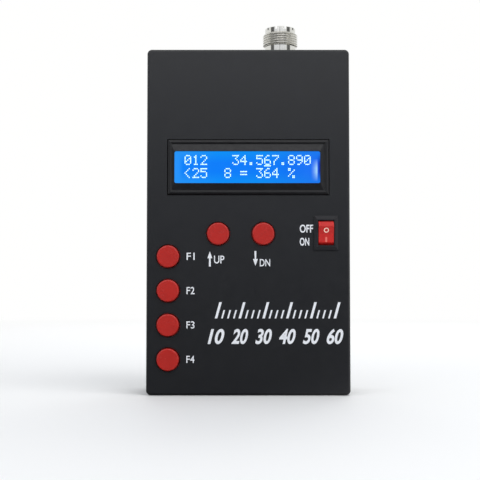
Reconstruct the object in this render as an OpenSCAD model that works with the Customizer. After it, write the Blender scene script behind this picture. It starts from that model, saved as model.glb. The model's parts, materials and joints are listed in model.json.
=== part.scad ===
// Handheld antenna analyser: moulded two-piece case, two-line display, six push buttons,
// a rocker power switch, a threaded antenna socket, one circuit board and a battery pack.
// Millimetres. +X is right, +Z is up and the front faces -Y.
// The origin is the middle of the flat bottom, so the case stands on Z = 0.

/* [Case] */
// Width across the front
body_w = 88.6; // [88:0.1:94]
// Height from the flat bottom to the top wall
body_h = 150.9; // [150:0.1:156]
// Depth from front face to back face
body_d = 38; // [38:1:42]
// Wall thickness of both case halves
wall = 2; // [1.8:0.1:2.2]
// Radius of the four upright corners, seen from the front
corner_r = 2; // [1.6:0.2:3]
// Radius of the moulded edge round the front and back faces
edge_r = 1.2; // [0.6:0.1:1.4]
// Depth of the rear cover, from the parting line to the back face
cover_d = 4; // [3.6:0.1:4.4]

/* [Display] */
// Height of the display's centre above the bottom
lcd_z = 98.9; // [98:0.1:101]
// Width of the display bezel
bezel_w = 70.4; // [70:0.1:71.4]
// Height of the display bezel
bezel_h = 24.2; // [24:0.1:24.4]
// How far the bezel stands out of the front face
bezel_proud = 0.8; // [0.4:0.1:1]
// Width of the lit viewing area
view_w = 63.6; // [63:0.1:64.6]
// Height of the lit viewing area
view_h = 14; // [13:0.1:15]
// Sideways place of the lit viewing area
view_x = -0.4; // [-0.5:0.1:0.5]

/* [Buttons] */
// Diameter of a button cap
button_d = 9.6; // [9:0.1:10.5]
// How far a cap stands out of the front face
button_proud = 2; // [1:0.1:2.5]
// Travel of a button
button_travel = 0.3; // [0.1:0.05:0.3]
// Sideways place of the up button
up_button_x = -13.1; // [-14:0.1:-12]
// Sideways place of the down button
down_button_x = 6.5; // [5:0.1:8]
// Height of the upper row of buttons
top_row_z = 69.8; // [69:0.1:71]
// Sideways place of the column of four buttons
side_button_x = -34.8; // [-34.8:0.1:-33]
// Height of the lowest button in the column
side_button_z = 15.4; // [15:0.1:16]
// Distance between the buttons of the column
side_button_pitch = 14.85; // [14.5:0.05:15]

/* [Rocker switch] */
// Sideways place of the rocker switch
rocker_x = 33.8; // [33.5:0.1:34.5]
// Height of the rocker's pivot
rocker_z = 70.2; // [69:0.1:71]
// Angle between the two positions of the rocker
rocker_swing = 20; // [16:1:20]

/* [Antenna socket] */
// Sideways place of the antenna socket
socket_x = 14.8; // [13:0.1:16]
// Major diameter of the coupling thread, 5/8 inch
thread_d = 15.875; // [15.8:0.025:15.95]
// Height of the socket above the top wall
socket_rise = 13.6; // [13:0.1:15]
// Length of the threaded stretch
thread_len = 5.05; // [4:0.05:5.5]
// Number of notches in the socket's rim
rim_notches = 10; // [4:1:12]

/* [Battery pack] */
// Diameter of a cell
cell_d = 14.3; // [14:0.1:14.4]
// Distance between the cells of a row
cell_pitch = 15.2; // [15:0.1:15.3]

/* [Hidden] */
$fn = 48;
slack = 0.02;                            // gap between pieces that are pressed together
front_y = -body_d / 2;                   // outer front face
back_y = body_d / 2;                     // outer back face
panel_y = front_y + wall;                // inside of the front wall
split_y = back_y - cover_d;              // parting line of the two halves
floor_y = back_y - wall;                 // inside of the back wall
inner_w = body_w - 2 * wall;
inner_top = body_h - wall;               // underside of the top wall

// Corner bosses that the rear cover is screwed to
boss_r = 3.3;
boss_inset_x = 5.7;
boss_inset_z = 5.2;
boss_hole_r = 1.45;
BOSSES = [for (sx = [-1, 1], z = [boss_inset_z, body_h - boss_inset_z])
          [sx * (body_w / 2 - boss_inset_x), z]];

// Depths of the inner layers, counted from the front face
lcd_board_y = front_y + 7.8;             // front face of the display's board
board_t = 1.6;
main_y = front_y + 12;                   // front face of the main board
main_rear_y = main_y + board_t;
main_bottom = 3.5;
main_top = body_h - 8.5;
main_w = inner_w - 1.6;
tongue_top = body_h - 3;                 // strip of board under the two supply connectors
POSTS = [[-37, 124], [37, 124], [-22, 8], [34, 11]];
post_r = 3;
post_hole_r = 1.25;

// Display module
lcd_board_w = 80;
lcd_board_h = 36;
lcd_hole_x = 37.5;
lcd_hole_z = 15.5;
LCD_HOLES = [for (sx = [-1, 1], sz = [-1, 1]) [sx * lcd_hole_x, lcd_z + sz * lcd_hole_z]];
bezel_y = front_y - bezel_proud;
bezel_t = 1.2;                           // depth of the bezel's front, rim to inner face
bezel_skin = 0.5;
bezel_round = 1;
bezel_rim = 1.3;                         // width of the rim round the bezel's front
trough_slope = 0.6;                      // width of the slope inside the rim
trough_depth = 0.45;
border_set = 0.1;                        // the border's top lies this far behind the rim
border_land = 0.15;                      // flat strip round the viewing area
glass_y = bezel_y + bezel_t;
glass_t = 1.1;
glass_w = bezel_w - 2 * bezel_skin - 0.6;
glass_h = bezel_h - 2 * bezel_skin - 0.6;
rear_glass_h = 18;
guide_y = glass_y + 2 * glass_t;         // the light guide fills the space to the board
header_pins = 16;
header_pitch = 2.54;
header_x = -32;

// Push buttons and the switches behind them
BUTTONS = concat(
    [["up_button", up_button_x, top_row_z], ["down_button", down_button_x, top_row_z]],
    [for (i = [0:3]) [str("side_button_", i + 1), side_button_x,
                      side_button_z + (3 - i) * side_button_pitch]]);
button_hole_r = button_d / 2 + 0.55;
cap_flange_r = 6;
cap_round = 0.6;
switch_w = 12;
switch_h = 3.4;
switch_y = main_y - switch_h;            // front of the switch housing, under its cover
well_d = 2;                              // depth of the well that holds dome and plunger
dome_h = 0.45;
cover_t = 0.3;
neck_r = 3.3;
stem_w = 3.8;
stem_y = main_y - 7.6;                   // tip of the switch's square stem
flange_y = panel_y + 0.5;                // front of the flange inside the front wall

// Rocker switch
ROCKER = [rocker_x, front_y + 2, rocker_z];     // pivot
rocker_rest = rocker_swing / 2;          // lower end pushed in at rest
rocker_w = 6.6;
rocker_flange = [10.5, 15];
rocker_flange_t = 1.4;                   // height of the flange round the rocker
rocker_flange_edge = 0.8;                // height of its outer edge
rocker_body_w = 8.8;
rocker_body_h = 13.3;
rocker_window_w = 7;
rocker_window_h = 10.9;
rocker_back_y = front_y + 12.5;
rocker_pin_r = 0.8;
terminal_y = front_y + 16.5;             // tips of the switch terminals

// Antenna socket, all heights above the outside of the top wall
bore_r = 6.2;
undercut_r = 7;
rim_r = 6.9;
thread_top = 10.4;
notch_depth = 1.3;
bore_depth = 8.5;
flange_w = 25.4;
flange_t = 3;
socket_screw = 9.15;                     // half the distance between the flange's holes
contact_r = 2.9;
contact_bore_r = 2;
cup_end = -12.5;

// Supply connectors in the top wall
jack_x = -27;
jack_y = main_rear_y + 6.5;
usb_x = -12;
usb_w = 7.7;
usb_h = 3.95;
usb_y = main_rear_y + usb_h / 2;

// Battery pack
holder_wall = 1.2;
holder_y0 = floor_y - 16.4;
holder_y1 = floor_y - 0.8;
holder_w = 4 * cell_pitch + 1.6;
holder_z0 = 8;
holder_z1 = 118;
end_wall = 1.5;
row_len = (holder_z1 - holder_z0 - 3 * end_wall) / 2;
contact_t = 0.4;
spring_h = 1.7;
nub_h = 1;
cell_y = holder_y1 - holder_wall - cell_d / 2 - 0.05;
cell_len = row_len - 2 * contact_t - spring_h;
plug = [1.5, 124];                       // middle of the battery connector
plug_pitch = 2.5;
plug_h = 8.4;

BUTTON_NODES = [for (b = BUTTONS, part = ["_cap", "_plunger"]) str(b[0], part)];

// ---------------------------------------------------------------- shared shapes

// A flat outline in X and Z, given depth from y0 to y1
module along_y(y0, y1) {
    translate([0, y1, 0]) rotate([90, 0, 0]) linear_extrude(y1 - y0) children();
}

// A round bar along Y
module bar_y(x, z, r, y0, y1) {
    translate([x, y1, z]) rotate([90, 0, 0]) cylinder(r = r, h = y1 - y0);
}

// A bar along Y that tapers from r0 at y0 to r1 at y1
module cone_y(x, z, r0, r1, y0, y1) {
    translate([x, y0, z]) rotate([-90, 0, 0]) cylinder(r1 = r0, r2 = r1, h = y1 - y0);
}

// A box given by its two corners
module block(a, b) {
    translate(a) cube(b - a);
}

module rounded_rect(w, h, r) {
    square([w - 2 * r, h], center = true);
    square([w, h - 2 * r], center = true);
    for (sx = [-1, 1], sy = [-1, 1])
        translate([sx * (w / 2 - r), sy * (h / 2 - r)]) circle(r);
}

// Half-section of a panel piece: rounded at the front corners (towards -Y), square at the back
module front_rounded(w, y0, y1, r) {
    translate([-w / 2 + r, y0]) square([w - 2 * r, y1 - y0]);
    translate([-w / 2, y0 + r]) square([w, y1 - y0 - r]);
    for (s = [-1, 1]) translate([s * (w / 2 - r), y0 + r]) circle(r);
}

// A block whose four front edges are rounded and meet in mitres
module mitred_block(x, z, w, h, y0, y1, r) {
    intersection() {
        translate([x, 0, z - h]) linear_extrude(2 * h) front_rounded(w, y0, y1, r);
        translate([x - w, 0, z]) rotate([90, 0, 90]) linear_extrude(2 * w)
            rotate(90) mirror([0, 1]) front_rounded(h, y0, y1, r);
    }
}

// A block whose front slopes down on four sides, from the size top at y0 to the size base at edge_y
module bevelled_block(x, z, base, top, y0, edge_y, y1) {
    intersection() {
        translate([x, 0, z - base[1]]) linear_extrude(2 * base[1])
            polygon([[-base[0] / 2, y1], [-base[0] / 2, edge_y], [-top[0] / 2, y0],
                     [top[0] / 2, y0], [base[0] / 2, edge_y], [base[0] / 2, y1]]);
        translate([x - base[0], 0, z]) rotate([90, 0, 90]) linear_extrude(2 * base[0])
            polygon([[y1, -base[1] / 2], [edge_y, -base[1] / 2], [y0, -top[1] / 2],
                     [y0, top[1] / 2], [edge_y, base[1] / 2], [y1, base[1] / 2]]);
    }
}

// A four-sided funnel: w0 by h0 at y0, narrowing to w1 by h1 at y1
module funnel(x, z, w0, h0, w1, h1, y0, y1) {
    intersection() {
        translate([x, 0, z - h0]) linear_extrude(2 * h0)
            polygon([[-w0 / 2, y0], [w0 / 2, y0], [w1 / 2, y1], [-w1 / 2, y1]]);
        translate([x - w0, 0, z]) rotate([90, 0, 90]) linear_extrude(2 * w0)
            polygon([[y0, -h0 / 2], [y1, -h1 / 2], [y1, h1 / 2], [y0, h0 / 2]]);
    }
}

// Insulated wire along straight runs with ball corners
module wire(points, r) {
    for (i = [0:len(points) - 2]) {
        run = points[i + 1] - points[i];
        turn = atan2(run[1], run[0]);
        lean = acos(run[2] / norm(run));
        translate(points[i]) rotate([0, lean, turn]) cylinder(r = r, h = norm(run));
    }
    for (i = [1:1:len(points) - 2]) translate(points[i]) sphere(r);
}

// Pan-head screw on the rear face of a board, its shank towards the front
module pan_screw(x, z, seat_y, head_r, head_h, shank_r, shank_end) {
    difference() {
        union() {
            bar_y(x, z, head_r, seat_y, seat_y + head_h);
            bar_y(x, z, shank_r, shank_end, seat_y + slack);
        }
        cross_recess(x, seat_y + head_h, z, head_r * 0.62, 0.9);
    }
}

// Cross-shaped driver recess in a head whose face lies at y
module cross_recess(x, y, z, half, depth) {
    slot = 0.7;
    translate([x, y, z]) {
        cube([2 * half, 2 * depth, slot], center = true);
        cube([slot, 2 * depth, 2 * half], center = true);
    }
}

// ---------------------------------------------------------------- case

// Turned corner of the case with its front and back edges rounded
module corner_puck() {
    steps = 6;
    rotate([90, 0, 0]) rotate_extrude($fn = 32) polygon(concat(
        [[0, -body_d / 2]],
        [for (i = [0:steps]) let (a = -90 + 90 * i / steps)
            [corner_r - edge_r + edge_r * cos(a), -body_d / 2 + edge_r + edge_r * sin(a)]],
        [for (i = [0:steps]) let (a = 90 * i / steps)
            [corner_r - edge_r + edge_r * cos(a), body_d / 2 - edge_r + edge_r * sin(a)]],
        [[0, body_d / 2]]));
}

module case_form() {
    hull() for (sx = [-1, 1], z = [corner_r, body_h - corner_r])
        translate([sx * (body_w / 2 - corner_r), 0, z]) corner_puck();
}

// Hollow of the case between two depths
module case_hollow(y0, y1, gap = 0) {
    along_y(y0, y1) translate([0, body_h / 2])
        rounded_rect(inner_w - 2 * gap, body_h - 2 * wall - 2 * gap, 1);
}

// Shallow step round the parting line
module parting_groove() {
    depth = 0.3;
    along_y(split_y - depth, split_y + 1) difference() {
        translate([0, body_h / 2]) square([body_w + 2, body_h + 2], center = true);
        translate([0, body_h / 2])
            rounded_rect(body_w - 2 * depth, body_h - 2 * depth, corner_r);
    }
}

// Openings in the front wall for the display, the buttons and the rocker switch
module front_openings() {
    gap = 0.2;
    along_y(front_y - 1, panel_y + 3) {
        translate([0, lcd_z]) square([bezel_w + 2 * gap, bezel_h + 2 * gap], center = true);
        translate([rocker_x, rocker_z])
            square([rocker_body_w + gap, rocker_body_h + gap], center = true);
        for (b = BUTTONS) translate([b[1], b[2]]) circle(button_hole_r);
    }
}

// Openings in the top wall for the antenna socket, the supply jack and the data socket
module top_openings() {
    translate([socket_x, 0, inner_top - 1]) cylinder(r = thread_d / 2 + 0.16, h = wall + 2);
    for (sx = [-1, 1], sy = [-1, 1])
        translate([socket_x + sx * socket_screw, sy * socket_screw, 0]) {
            translate([0, 0, inner_top - 1]) cylinder(r = 1.6, h = wall + 2);
            translate([0, 0, body_h - 1.6]) cylinder(r1 = 1.55, r2 = 3.15, h = 1.6);
        }
    translate([jack_x, jack_y, inner_top - 1]) cylinder(r = 4, h = wall + 2);
    translate([usb_x, usb_y, inner_top - 1]) linear_extrude(wall + 2)
        rounded_rect(usb_w + 1.4, usb_h + 1.4, 0.8);
}

// Collars, frame, posts and bosses moulded on the inside of the front wall
module front_mouldings() {
    rise = 1.5;
    for (b = BUTTONS) bar_y(b[1], b[2], cap_flange_r + 1.3, panel_y - 0.5, panel_y + rise);
    along_y(panel_y - 0.5, panel_y + rise) translate([0, lcd_z])
        square([bezel_w + 3, bezel_h + 3], center = true);
    for (p = POSTS) bar_y(p[0], p[1], post_r, panel_y - 0.5, main_y);
    for (p = BOSSES) bar_y(p[0], p[1], boss_r, panel_y - 0.5, split_y);
}

module front_shell() {
    color([0.17, 0.17, 0.18]) difference() {
        union() {
            difference() {
                case_form();
                block([-body_w, split_y, -1], [body_w, back_y + 1, body_h + 1]);
                case_hollow(panel_y, back_y);
            }
            intersection() {
                front_mouldings();
                case_hollow(panel_y - 0.5, back_y, -0.5);
            }
        }
        front_openings();
        top_openings();
        parting_groove();
        for (b = BUTTONS) bar_y(b[1], b[2], cap_flange_r + 0.3, panel_y, panel_y + 3);
        for (p = POSTS) bar_y(p[0], p[1], post_hole_r, panel_y + 1, main_y + 1);
        for (p = BOSSES) bar_y(p[0], p[1], boss_hole_r, split_y - 14, split_y + 1);
    }
}

// Countersunk holes of the rear cover
module cover_holes() {
    for (p = BOSSES) {
        bar_y(p[0], p[1], 1.7, split_y - 3, back_y + 1);
        cone_y(p[0], p[1], 1.7, 3, back_y - 1.3, back_y + slack);
    }
}

module rear_cover() {
    lip = 1.8;
    lip_gap = 0.15;
    lip_t = 1.3;
    rib_t = 1.4;
    color([0.17, 0.17, 0.18]) difference() {
        union() {
            difference() {
                case_form();
                block([-body_w, front_y - 1, -1], [body_w, split_y, body_h + 1]);
                case_hollow(split_y - 1, floor_y);
            }
            difference() {
                case_hollow(split_y - lip, floor_y + 0.5, lip_gap);
                case_hollow(split_y - lip - 1, floor_y, lip_gap + lip_t);
                for (p = BOSSES) bar_y(p[0], p[1], boss_r + 0.3, split_y - lip - 1, split_y);
            }
            for (p = BOSSES) bar_y(p[0], p[1], boss_r, split_y, floor_y + 0.5);
            for (x = [-24, -8, 8, 24])
                block([x - rib_t / 2, floor_y - 1.5, holder_z1 + 3],
                      [x + rib_t / 2, floor_y + 0.5, inner_top - 3]);
        }
        cover_holes();
    }
}

module cover_screws() {
    color([0.2, 0.2, 0.21]) for (p = BOSSES) difference() {
        union() {
            cone_y(p[0], p[1], 1.4, 2.9, back_y - 1.5, back_y);
            bar_y(p[0], p[1], boss_hole_r - slack, split_y - 8, back_y - 1.2);
        }
        cross_recess(p[0], back_y, p[1], 1.6, 1.2);
    }
}

// ---------------------------------------------------------------- display

// Pressed trough between the rim and the border that slopes up to the viewing area
module bezel_trough() {
    mouth = [bezel_w - 2 * bezel_rim, bezel_h - 2 * bezel_rim];
    bed = mouth - 2 * [trough_slope, trough_slope];
    foot = bed - [0.2, 0.2];
    top = [view_w, view_h] + 2 * [border_land, border_land];
    difference() {
        funnel(0, lcd_z, mouth[0], mouth[1], bed[0], bed[1],
               bezel_y - slack, bezel_y + trough_depth);
        funnel(view_x, lcd_z, top[0], top[1], foot[0], foot[1],
               bezel_y + border_set, bezel_y + trough_depth + slack);
    }
}

module lcd_bezel() {
    color([0.07, 0.07, 0.08]) difference() {
        mitred_block(0, lcd_z, bezel_w, bezel_h, bezel_y, lcd_board_y, bezel_round);
        block([-bezel_w / 2 + bezel_skin, glass_y, lcd_z - bezel_h / 2 + bezel_skin],
              [bezel_w / 2 - bezel_skin, lcd_board_y + 1, lcd_z + bezel_h / 2 - bezel_skin]);
        bezel_trough();
        along_y(bezel_y, glass_y + 1) translate([view_x, lcd_z])
            rounded_rect(view_w, view_h, 0.8);
    }
}

module lcd_glass() {
    color([0.1, 0.45, 0.95]) {
        along_y(glass_y, glass_y + glass_t) translate([0, lcd_z])
            square([glass_w, glass_h], center = true);
        along_y(glass_y + glass_t, glass_y + 2 * glass_t) translate([0, lcd_z])
            square([glass_w, rear_glass_h], center = true);
    }
}

module lcd_light_guide() {
    led_w = 2.4;
    color([0.85, 0.9, 0.95]) difference() {
        along_y(guide_y, lcd_board_y) translate([0, lcd_z])
            rounded_rect(glass_w - 2, rear_glass_h - 1, 0.5);
        block([view_w / 2 - led_w, guide_y + 1, lcd_z - 6.2],
              [glass_w, lcd_board_y + 1, lcd_z + 6.2]);
    }
}

module lcd_backlight_led() {
    color([0.95, 0.95, 0.8]) block([view_w / 2 - 2.2, guide_y + 1.2, lcd_z - 6],
                                   [view_w / 2 - 0.4, lcd_board_y, lcd_z + 6]);
}

module lcd_contact_strips() {
    color([0.8, 0.35, 0.45]) for (s = [-1, 1]) translate([0, 0, lcd_z + s * 10.1])
        block([-30, glass_y + glass_t, -0.8], [30, lcd_board_y, 0.8]);
}

module lcd_board() {
    color([0.1, 0.3, 0.16]) along_y(lcd_board_y, lcd_board_y + board_t) difference() {
        translate([0, lcd_z]) square([lcd_board_w, lcd_board_h], center = true);
        for (p = LCD_HOLES) translate(p) circle(1.35);
        for (i = [0:header_pins - 1])
            translate([header_x + i * header_pitch, lcd_z + lcd_hole_z]) circle(0.5);
    }
}

module lcd_driver_blobs() {
    color([0.05, 0.05, 0.05]) for (x = [-16, 10])
        translate([x, lcd_board_y + board_t, lcd_z]) rotate([-90, 0, 0])
            cylinder(r1 = 7, r2 = 5, h = 1.2);
}

module lcd_header() {
    strip_t = main_y - lcd_board_y - board_t;
    pin = 0.64;
    z = lcd_z + lcd_hole_z;
    color([0.1, 0.1, 0.1]) {
        block([header_x - header_pitch / 2, lcd_board_y + board_t, z - header_pitch / 2],
              [header_x + (header_pins - 0.5) * header_pitch, main_y, z + header_pitch / 2]);
        for (i = [0:header_pins - 1]) translate([header_x + i * header_pitch, 0, z])
            block([-pin / 2, lcd_board_y - 0.8, -pin / 2],
                  [pin / 2, lcd_board_y + 2 * board_t + strip_t + 0.8, pin / 2]);
    }
}

module lcd_spacers() {
    color([0.85, 0.85, 0.83]) for (p = LCD_HOLES) difference() {
        bar_y(p[0], p[1], 2.5, lcd_board_y + board_t, main_y);
        bar_y(p[0], p[1], 1.4, lcd_board_y, main_y + 1);
    }
}

module lcd_screws() {
    head_h = 1.7;
    color([0.75, 0.75, 0.77]) for (p = LCD_HOLES) difference() {
        union() {
            bar_y(p[0], p[1], 2.25, lcd_board_y - head_h, lcd_board_y);
            bar_y(p[0], p[1], 1.25 - slack, lcd_board_y - slack, main_rear_y + 2.6);
        }
        cross_recess(p[0], lcd_board_y - head_h, p[1], 1.4, 0.9);
    }
}

module lcd_nuts() {
    color([0.75, 0.75, 0.77]) for (p = LCD_HOLES) difference() {
        translate([p[0], main_rear_y + 2, p[1]]) rotate([90, 0, 0])
            cylinder(r = 2.9, h = 2, $fn = 6);
        bar_y(p[0], p[1], 1.25, main_rear_y - 1, main_rear_y + 3);
    }
}

// ---------------------------------------------------------------- main board

module main_board() {
    color([0.1, 0.32, 0.14]) along_y(main_y, main_rear_y) difference() {
        union() {
            translate([-main_w / 2, main_bottom]) square([main_w, main_top - main_bottom]);
            translate([jack_x - 6, main_top - 1])
                square([usb_x - jack_x + 11, tongue_top - main_top + 1]);
        }
        for (p = BOSSES) translate(p) circle(boss_r + 0.5);
        for (p = POSTS) translate(p) circle(post_hole_r + 0.15);
        for (p = LCD_HOLES) translate(p) circle(1.35);
        for (i = [0:header_pins - 1])
            translate([header_x + i * header_pitch, lcd_z + lcd_hole_z]) circle(0.5);
        for (b = BUTTONS, s = [-1, 1]) translate([b[1] + s * 3, b[2] - s * 3]) circle(0.85);
        translate([rocker_x - 6.2, rocker_z - 10])
            square([main_w, 20]);
    }
}

module board_screws() {
    color([0.75, 0.75, 0.77]) for (p = POSTS)
        pan_screw(p[0], p[1], main_rear_y, 2.5, 1.8, post_hole_r - slack, main_y - 7);
}

// ---------------------------------------------------------------- push buttons

module switch_bases() {
    well_r = 4.2;
    color([0.08, 0.08, 0.08]) for (b = BUTTONS) {
        difference() {
            along_y(switch_y, main_y) translate([b[1], b[2]])
                rounded_rect(switch_w, switch_w, 0.5);
            bar_y(b[1], b[2], well_r, switch_y - 1, switch_y + well_d);
        }
        for (s = [-1, 1]) bar_y(b[1] + s * 3, b[2] - s * 3, 0.8, main_y - 0.5, main_rear_y);
    }
}

module switch_domes() {
    color([0.8, 0.8, 0.8]) for (b = BUTTONS)
        cone_y(b[1], b[2], 1.2, 3.6, switch_y + well_d - dome_h, switch_y + well_d);
}

module switch_covers() {
    tab_w = 6;
    color([0.78, 0.78, 0.8]) for (b = BUTTONS) {
        along_y(switch_y - cover_t, switch_y) translate([b[1], b[2]]) difference() {
            square([switch_w + 2 * cover_t, switch_w], center = true);
            circle(neck_r + 0.05);
        }
        for (s = [-1, 1]) translate([b[1] + s * (switch_w + cover_t) / 2, 0, b[2]])
            block([-cover_t / 2, switch_y - slack, -tab_w / 2],
                  [cover_t / 2, switch_y + 2.4, tab_w / 2]);
    }
}

module button_plunger(x, z) {
    disc_r = 4;
    disc_end = switch_y + well_d - dome_h - button_travel - 0.05;
    shoulder_y = switch_y - 1.8;
    color([0.9, 0.9, 0.88]) {
        bar_y(x, z, disc_r, switch_y + 0.1, disc_end);
        bar_y(x, z, neck_r, shoulder_y, switch_y + 0.2);
        block([x - stem_w / 2, stem_y, z - stem_w / 2],
              [x + stem_w / 2, shoulder_y + slack, z + stem_w / 2]);
    }
}

// Cap: a rounded disc through the front wall, a flange behind it and a socket for the stem
module button_cap(x, z) {
    r = button_d / 2;
    tip = flange_y - front_y + button_proud;
    boss_len = switch_y - 2 - flange_y - 1;
    color([0.75, 0.12, 0.12]) difference() {
        translate([x, flange_y, z]) rotate([90, 0, 0]) {
            rotate_extrude() {
                square([r - cap_round, tip]);
                square([r, tip - cap_round]);
                translate([r - cap_round, tip - cap_round]) circle(cap_round);
            }
            translate([0, 0, -1]) cylinder(r = cap_flange_r, h = 1);
            translate([0, 0, -1 - boss_len]) cylinder(r = 3.4, h = boss_len + 0.5);
        }
        socket_w = stem_w + 2 * slack;
        block([x - socket_w / 2, stem_y - 0.1, z - socket_w / 2],
              [x + socket_w / 2, main_y, z + socket_w / 2]);
    }
}

// ---------------------------------------------------------------- rocker switch

module rocker_housing() {
    inner_y = front_y - 0.2;
    land = 0.5;
    floor_t = 3;
    cavity_h = 12;
    color([0.06, 0.06, 0.065]) difference() {
        union() {
            bevelled_block(rocker_x, rocker_z, rocker_flange,
                           [rocker_window_w + 2 * land, rocker_window_h + 2 * land],
                           front_y - rocker_flange_t, front_y - rocker_flange_edge, front_y);
            along_y(front_y - slack, rocker_back_y) translate([rocker_x, rocker_z])
                square([rocker_body_w, rocker_body_h], center = true);
            // snap wedges that hold the housing behind the panel
            for (s = [-1, 1]) translate([rocker_x - 2, 0, rocker_z]) rotate([90, 0, 90])
                linear_extrude(4) polygon([[panel_y + 0.05, s * rocker_body_h / 2],
                    [panel_y + 0.05, s * (rocker_body_h / 2 + 0.6)],
                    [panel_y + 3, s * rocker_body_h / 2]]);
        }
        along_y(front_y - 3, inner_y + 1) translate([rocker_x, rocker_z])
            square([rocker_window_w, rocker_window_h], center = true);
        along_y(inner_y, rocker_back_y - floor_t) translate([rocker_x, rocker_z])
            square([rocker_window_w, cavity_h], center = true);
        translate([rocker_x - 5, ROCKER[1], rocker_z]) rotate([0, 90, 0])
            cylinder(r = rocker_pin_r + 0.05, h = 10);
        for (s = [-1, 1]) translate([rocker_x, 0, rocker_z + s * 3.8])
            block([-1.6 - slack, rocker_back_y - 4, -0.4 - slack],
                  [1.6 + slack, rocker_back_y + 1, 0.4 + slack]);
    }
}

// Side outline of the rocker about its pivot: a shallow V in front and a round belly behind
module rocker_outline() {
    ridge = 3.4;
    face_end = 3.5;
    face_tip = ridge + face_end * tan(8);
    belly = [2.3, 5.25];
    belly_r = norm(belly);
    intersection() {
        circle(belly_r);
        translate([-2.2, -belly_r]) square([8, 2 * belly_r]);
        polygon([[-6, -6], [belly[0], -6], [belly[0], -belly[1]], [face_tip, -face_end],
                 [ridge, 0], [face_tip, face_end], [belly[0], belly[1]], [belly[0], 6], [-6, 6]]);
    }
}

module rocker() {
    color([0.8, 0.13, 0.13]) translate(ROCKER) rotate([rocker_rest, 0, 0]) {
        translate([-rocker_w / 2, 0, 0]) rotate([90, 0, 90]) linear_extrude(rocker_w)
            mirror([1, 0]) rocker_outline();
        translate([-rocker_w / 2 - 0.6, 0, 0]) rotate([0, 90, 0])
            cylinder(r = rocker_pin_r, h = rocker_w + 1.2);
    }
}

module rocker_terminals() {
    color([0.8, 0.7, 0.4]) for (s = [-1, 1]) translate([rocker_x, 0, rocker_z + s * 3.8])
        difference() {
            block([-1.6, rocker_back_y - 4, -0.4], [1.6, terminal_y, 0.4]);
            translate([0, terminal_y - 1.6, -1]) cylinder(r = 0.6, h = 2);
        }
}

module rocker_leads() {
    r = 0.7;
    bend_y = terminal_y + 1;
    pad_x = rocker_x - 5.1;
    color([0.75, 0.1, 0.1]) for (s = [-1, 1])
        wire([[rocker_x, terminal_y, rocker_z + s * 3.8], [rocker_x, bend_y, rocker_z + s * 3.8],
              [pad_x, bend_y, rocker_z + s * 13], [pad_x, main_rear_y, rocker_z + s * 13]], r);
}

// ---------------------------------------------------------------- antenna socket

// Barrel with a slotted rim, a threaded band, an undercut and a square flange inside the case
module antenna_socket_shell() {
    notch_w = 1;
    color([0.78, 0.78, 0.76]) translate([socket_x, 0, body_h]) difference() {
        union() {
            rotate_extrude() difference() {
                polygon([[0, -wall - 1], [undercut_r, -wall - 1],
                         [undercut_r, thread_top - thread_len - 0.5],
                         [thread_d / 2, thread_top - thread_len],
                         [thread_d / 2, thread_top],
                         [rim_r, thread_top + 0.7],
                         [rim_r, socket_rise - 0.3],
                         [rim_r - 0.3, socket_rise], [0, socket_rise]]);
                square([bore_r, socket_rise + 1]);
                translate([0, -wall - 2]) square([bore_r, wall + 3]);
            }
            translate([0, 0, -wall - flange_t]) linear_extrude(flange_t)
                rounded_rect(flange_w, flange_w, 1.2);
        }
        translate([0, 0, -wall - flange_t - 1]) cylinder(r = bore_r, h = flange_t + 2);
        for (sx = [-1, 1], sy = [-1, 1])
            translate([sx * socket_screw, sy * socket_screw, -wall - flange_t - 1])
                cylinder(r = 1.6, h = flange_t + 2);
        for (i = [0:rim_notches - 1]) rotate(i * 360 / rim_notches)
            translate([bore_r - 1, -notch_w / 2, socket_rise - notch_depth])
                cube([3, notch_w, socket_rise]);
    }
}

module antenna_socket_insulator() {
    face = socket_rise - bore_depth;
    foot = -wall - flange_t - 2;
    color([0.9, 0.88, 0.82]) translate([socket_x, 0, body_h]) rotate_extrude() difference() {
        polygon([[0, foot], [bore_r - 0.8, foot], [bore_r - slack, foot + 1.2],
                 [bore_r - slack, face], [0, face]]);
        translate([0, foot - 1]) square([contact_r + slack, face - foot + 2]);
    }
}

// Centre contact: a slotted tube for the plug's pin, and a solder cup inside the case
module antenna_socket_contact() {
    tip = socket_rise - 0.8;
    hole_depth = 7.6;
    slot_w = 0.45;
    cup_r = 2.2;
    color([0.83, 0.72, 0.45]) translate([socket_x, 0, body_h]) difference() {
        union() {
            rotate_extrude() polygon([[0, -wall - flange_t - 2], [contact_r, -wall - flange_t - 2],
                [contact_r, tip - 0.5], [contact_r - 0.5, tip], [0, tip]]);
            translate([0, 0, cup_end]) cylinder(r = cup_r, h = -cup_end - wall - flange_t);
        }
        translate([0, 0, tip - hole_depth]) cylinder(r = contact_bore_r, h = hole_depth + 1);
        for (a = [0, 90]) rotate(a) translate([-5, -slot_w / 2, tip - 6]) cube([10, slot_w, 7]);
        translate([0, 0, cup_end - 1]) cylinder(r = 0.62, h = 5);
    }
}

module antenna_socket_screws() {
    color([0.75, 0.75, 0.77]) for (sx = [-1, 1], sy = [-1, 1])
        translate([socket_x + sx * socket_screw, sy * socket_screw, body_h]) difference() {
            union() {
                translate([0, 0, -1.6]) cylinder(r1 = 1.45, r2 = 3.0, h = 1.55);
                translate([0, 0, -9]) cylinder(r = 1.5 - slack, h = 8);
            }
            translate([0, 0, -0.3]) {
                cube([3.2, 0.7, 1.4], center = true);
                cube([0.7, 3.2, 1.4], center = true);
            }
        }
}

module antenna_socket_nuts() {
    nut_h = 2.4;
    color([0.75, 0.75, 0.77]) for (sx = [-1, 1], sy = [-1, 1])
        translate([socket_x + sx * socket_screw, sy * socket_screw,
                   body_h - wall - flange_t - nut_h]) difference() {
            cylinder(r = 3.15, h = nut_h, $fn = 6);
            translate([0, 0, -1]) cylinder(r = 1.5, h = nut_h + 2);
        }
}

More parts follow.
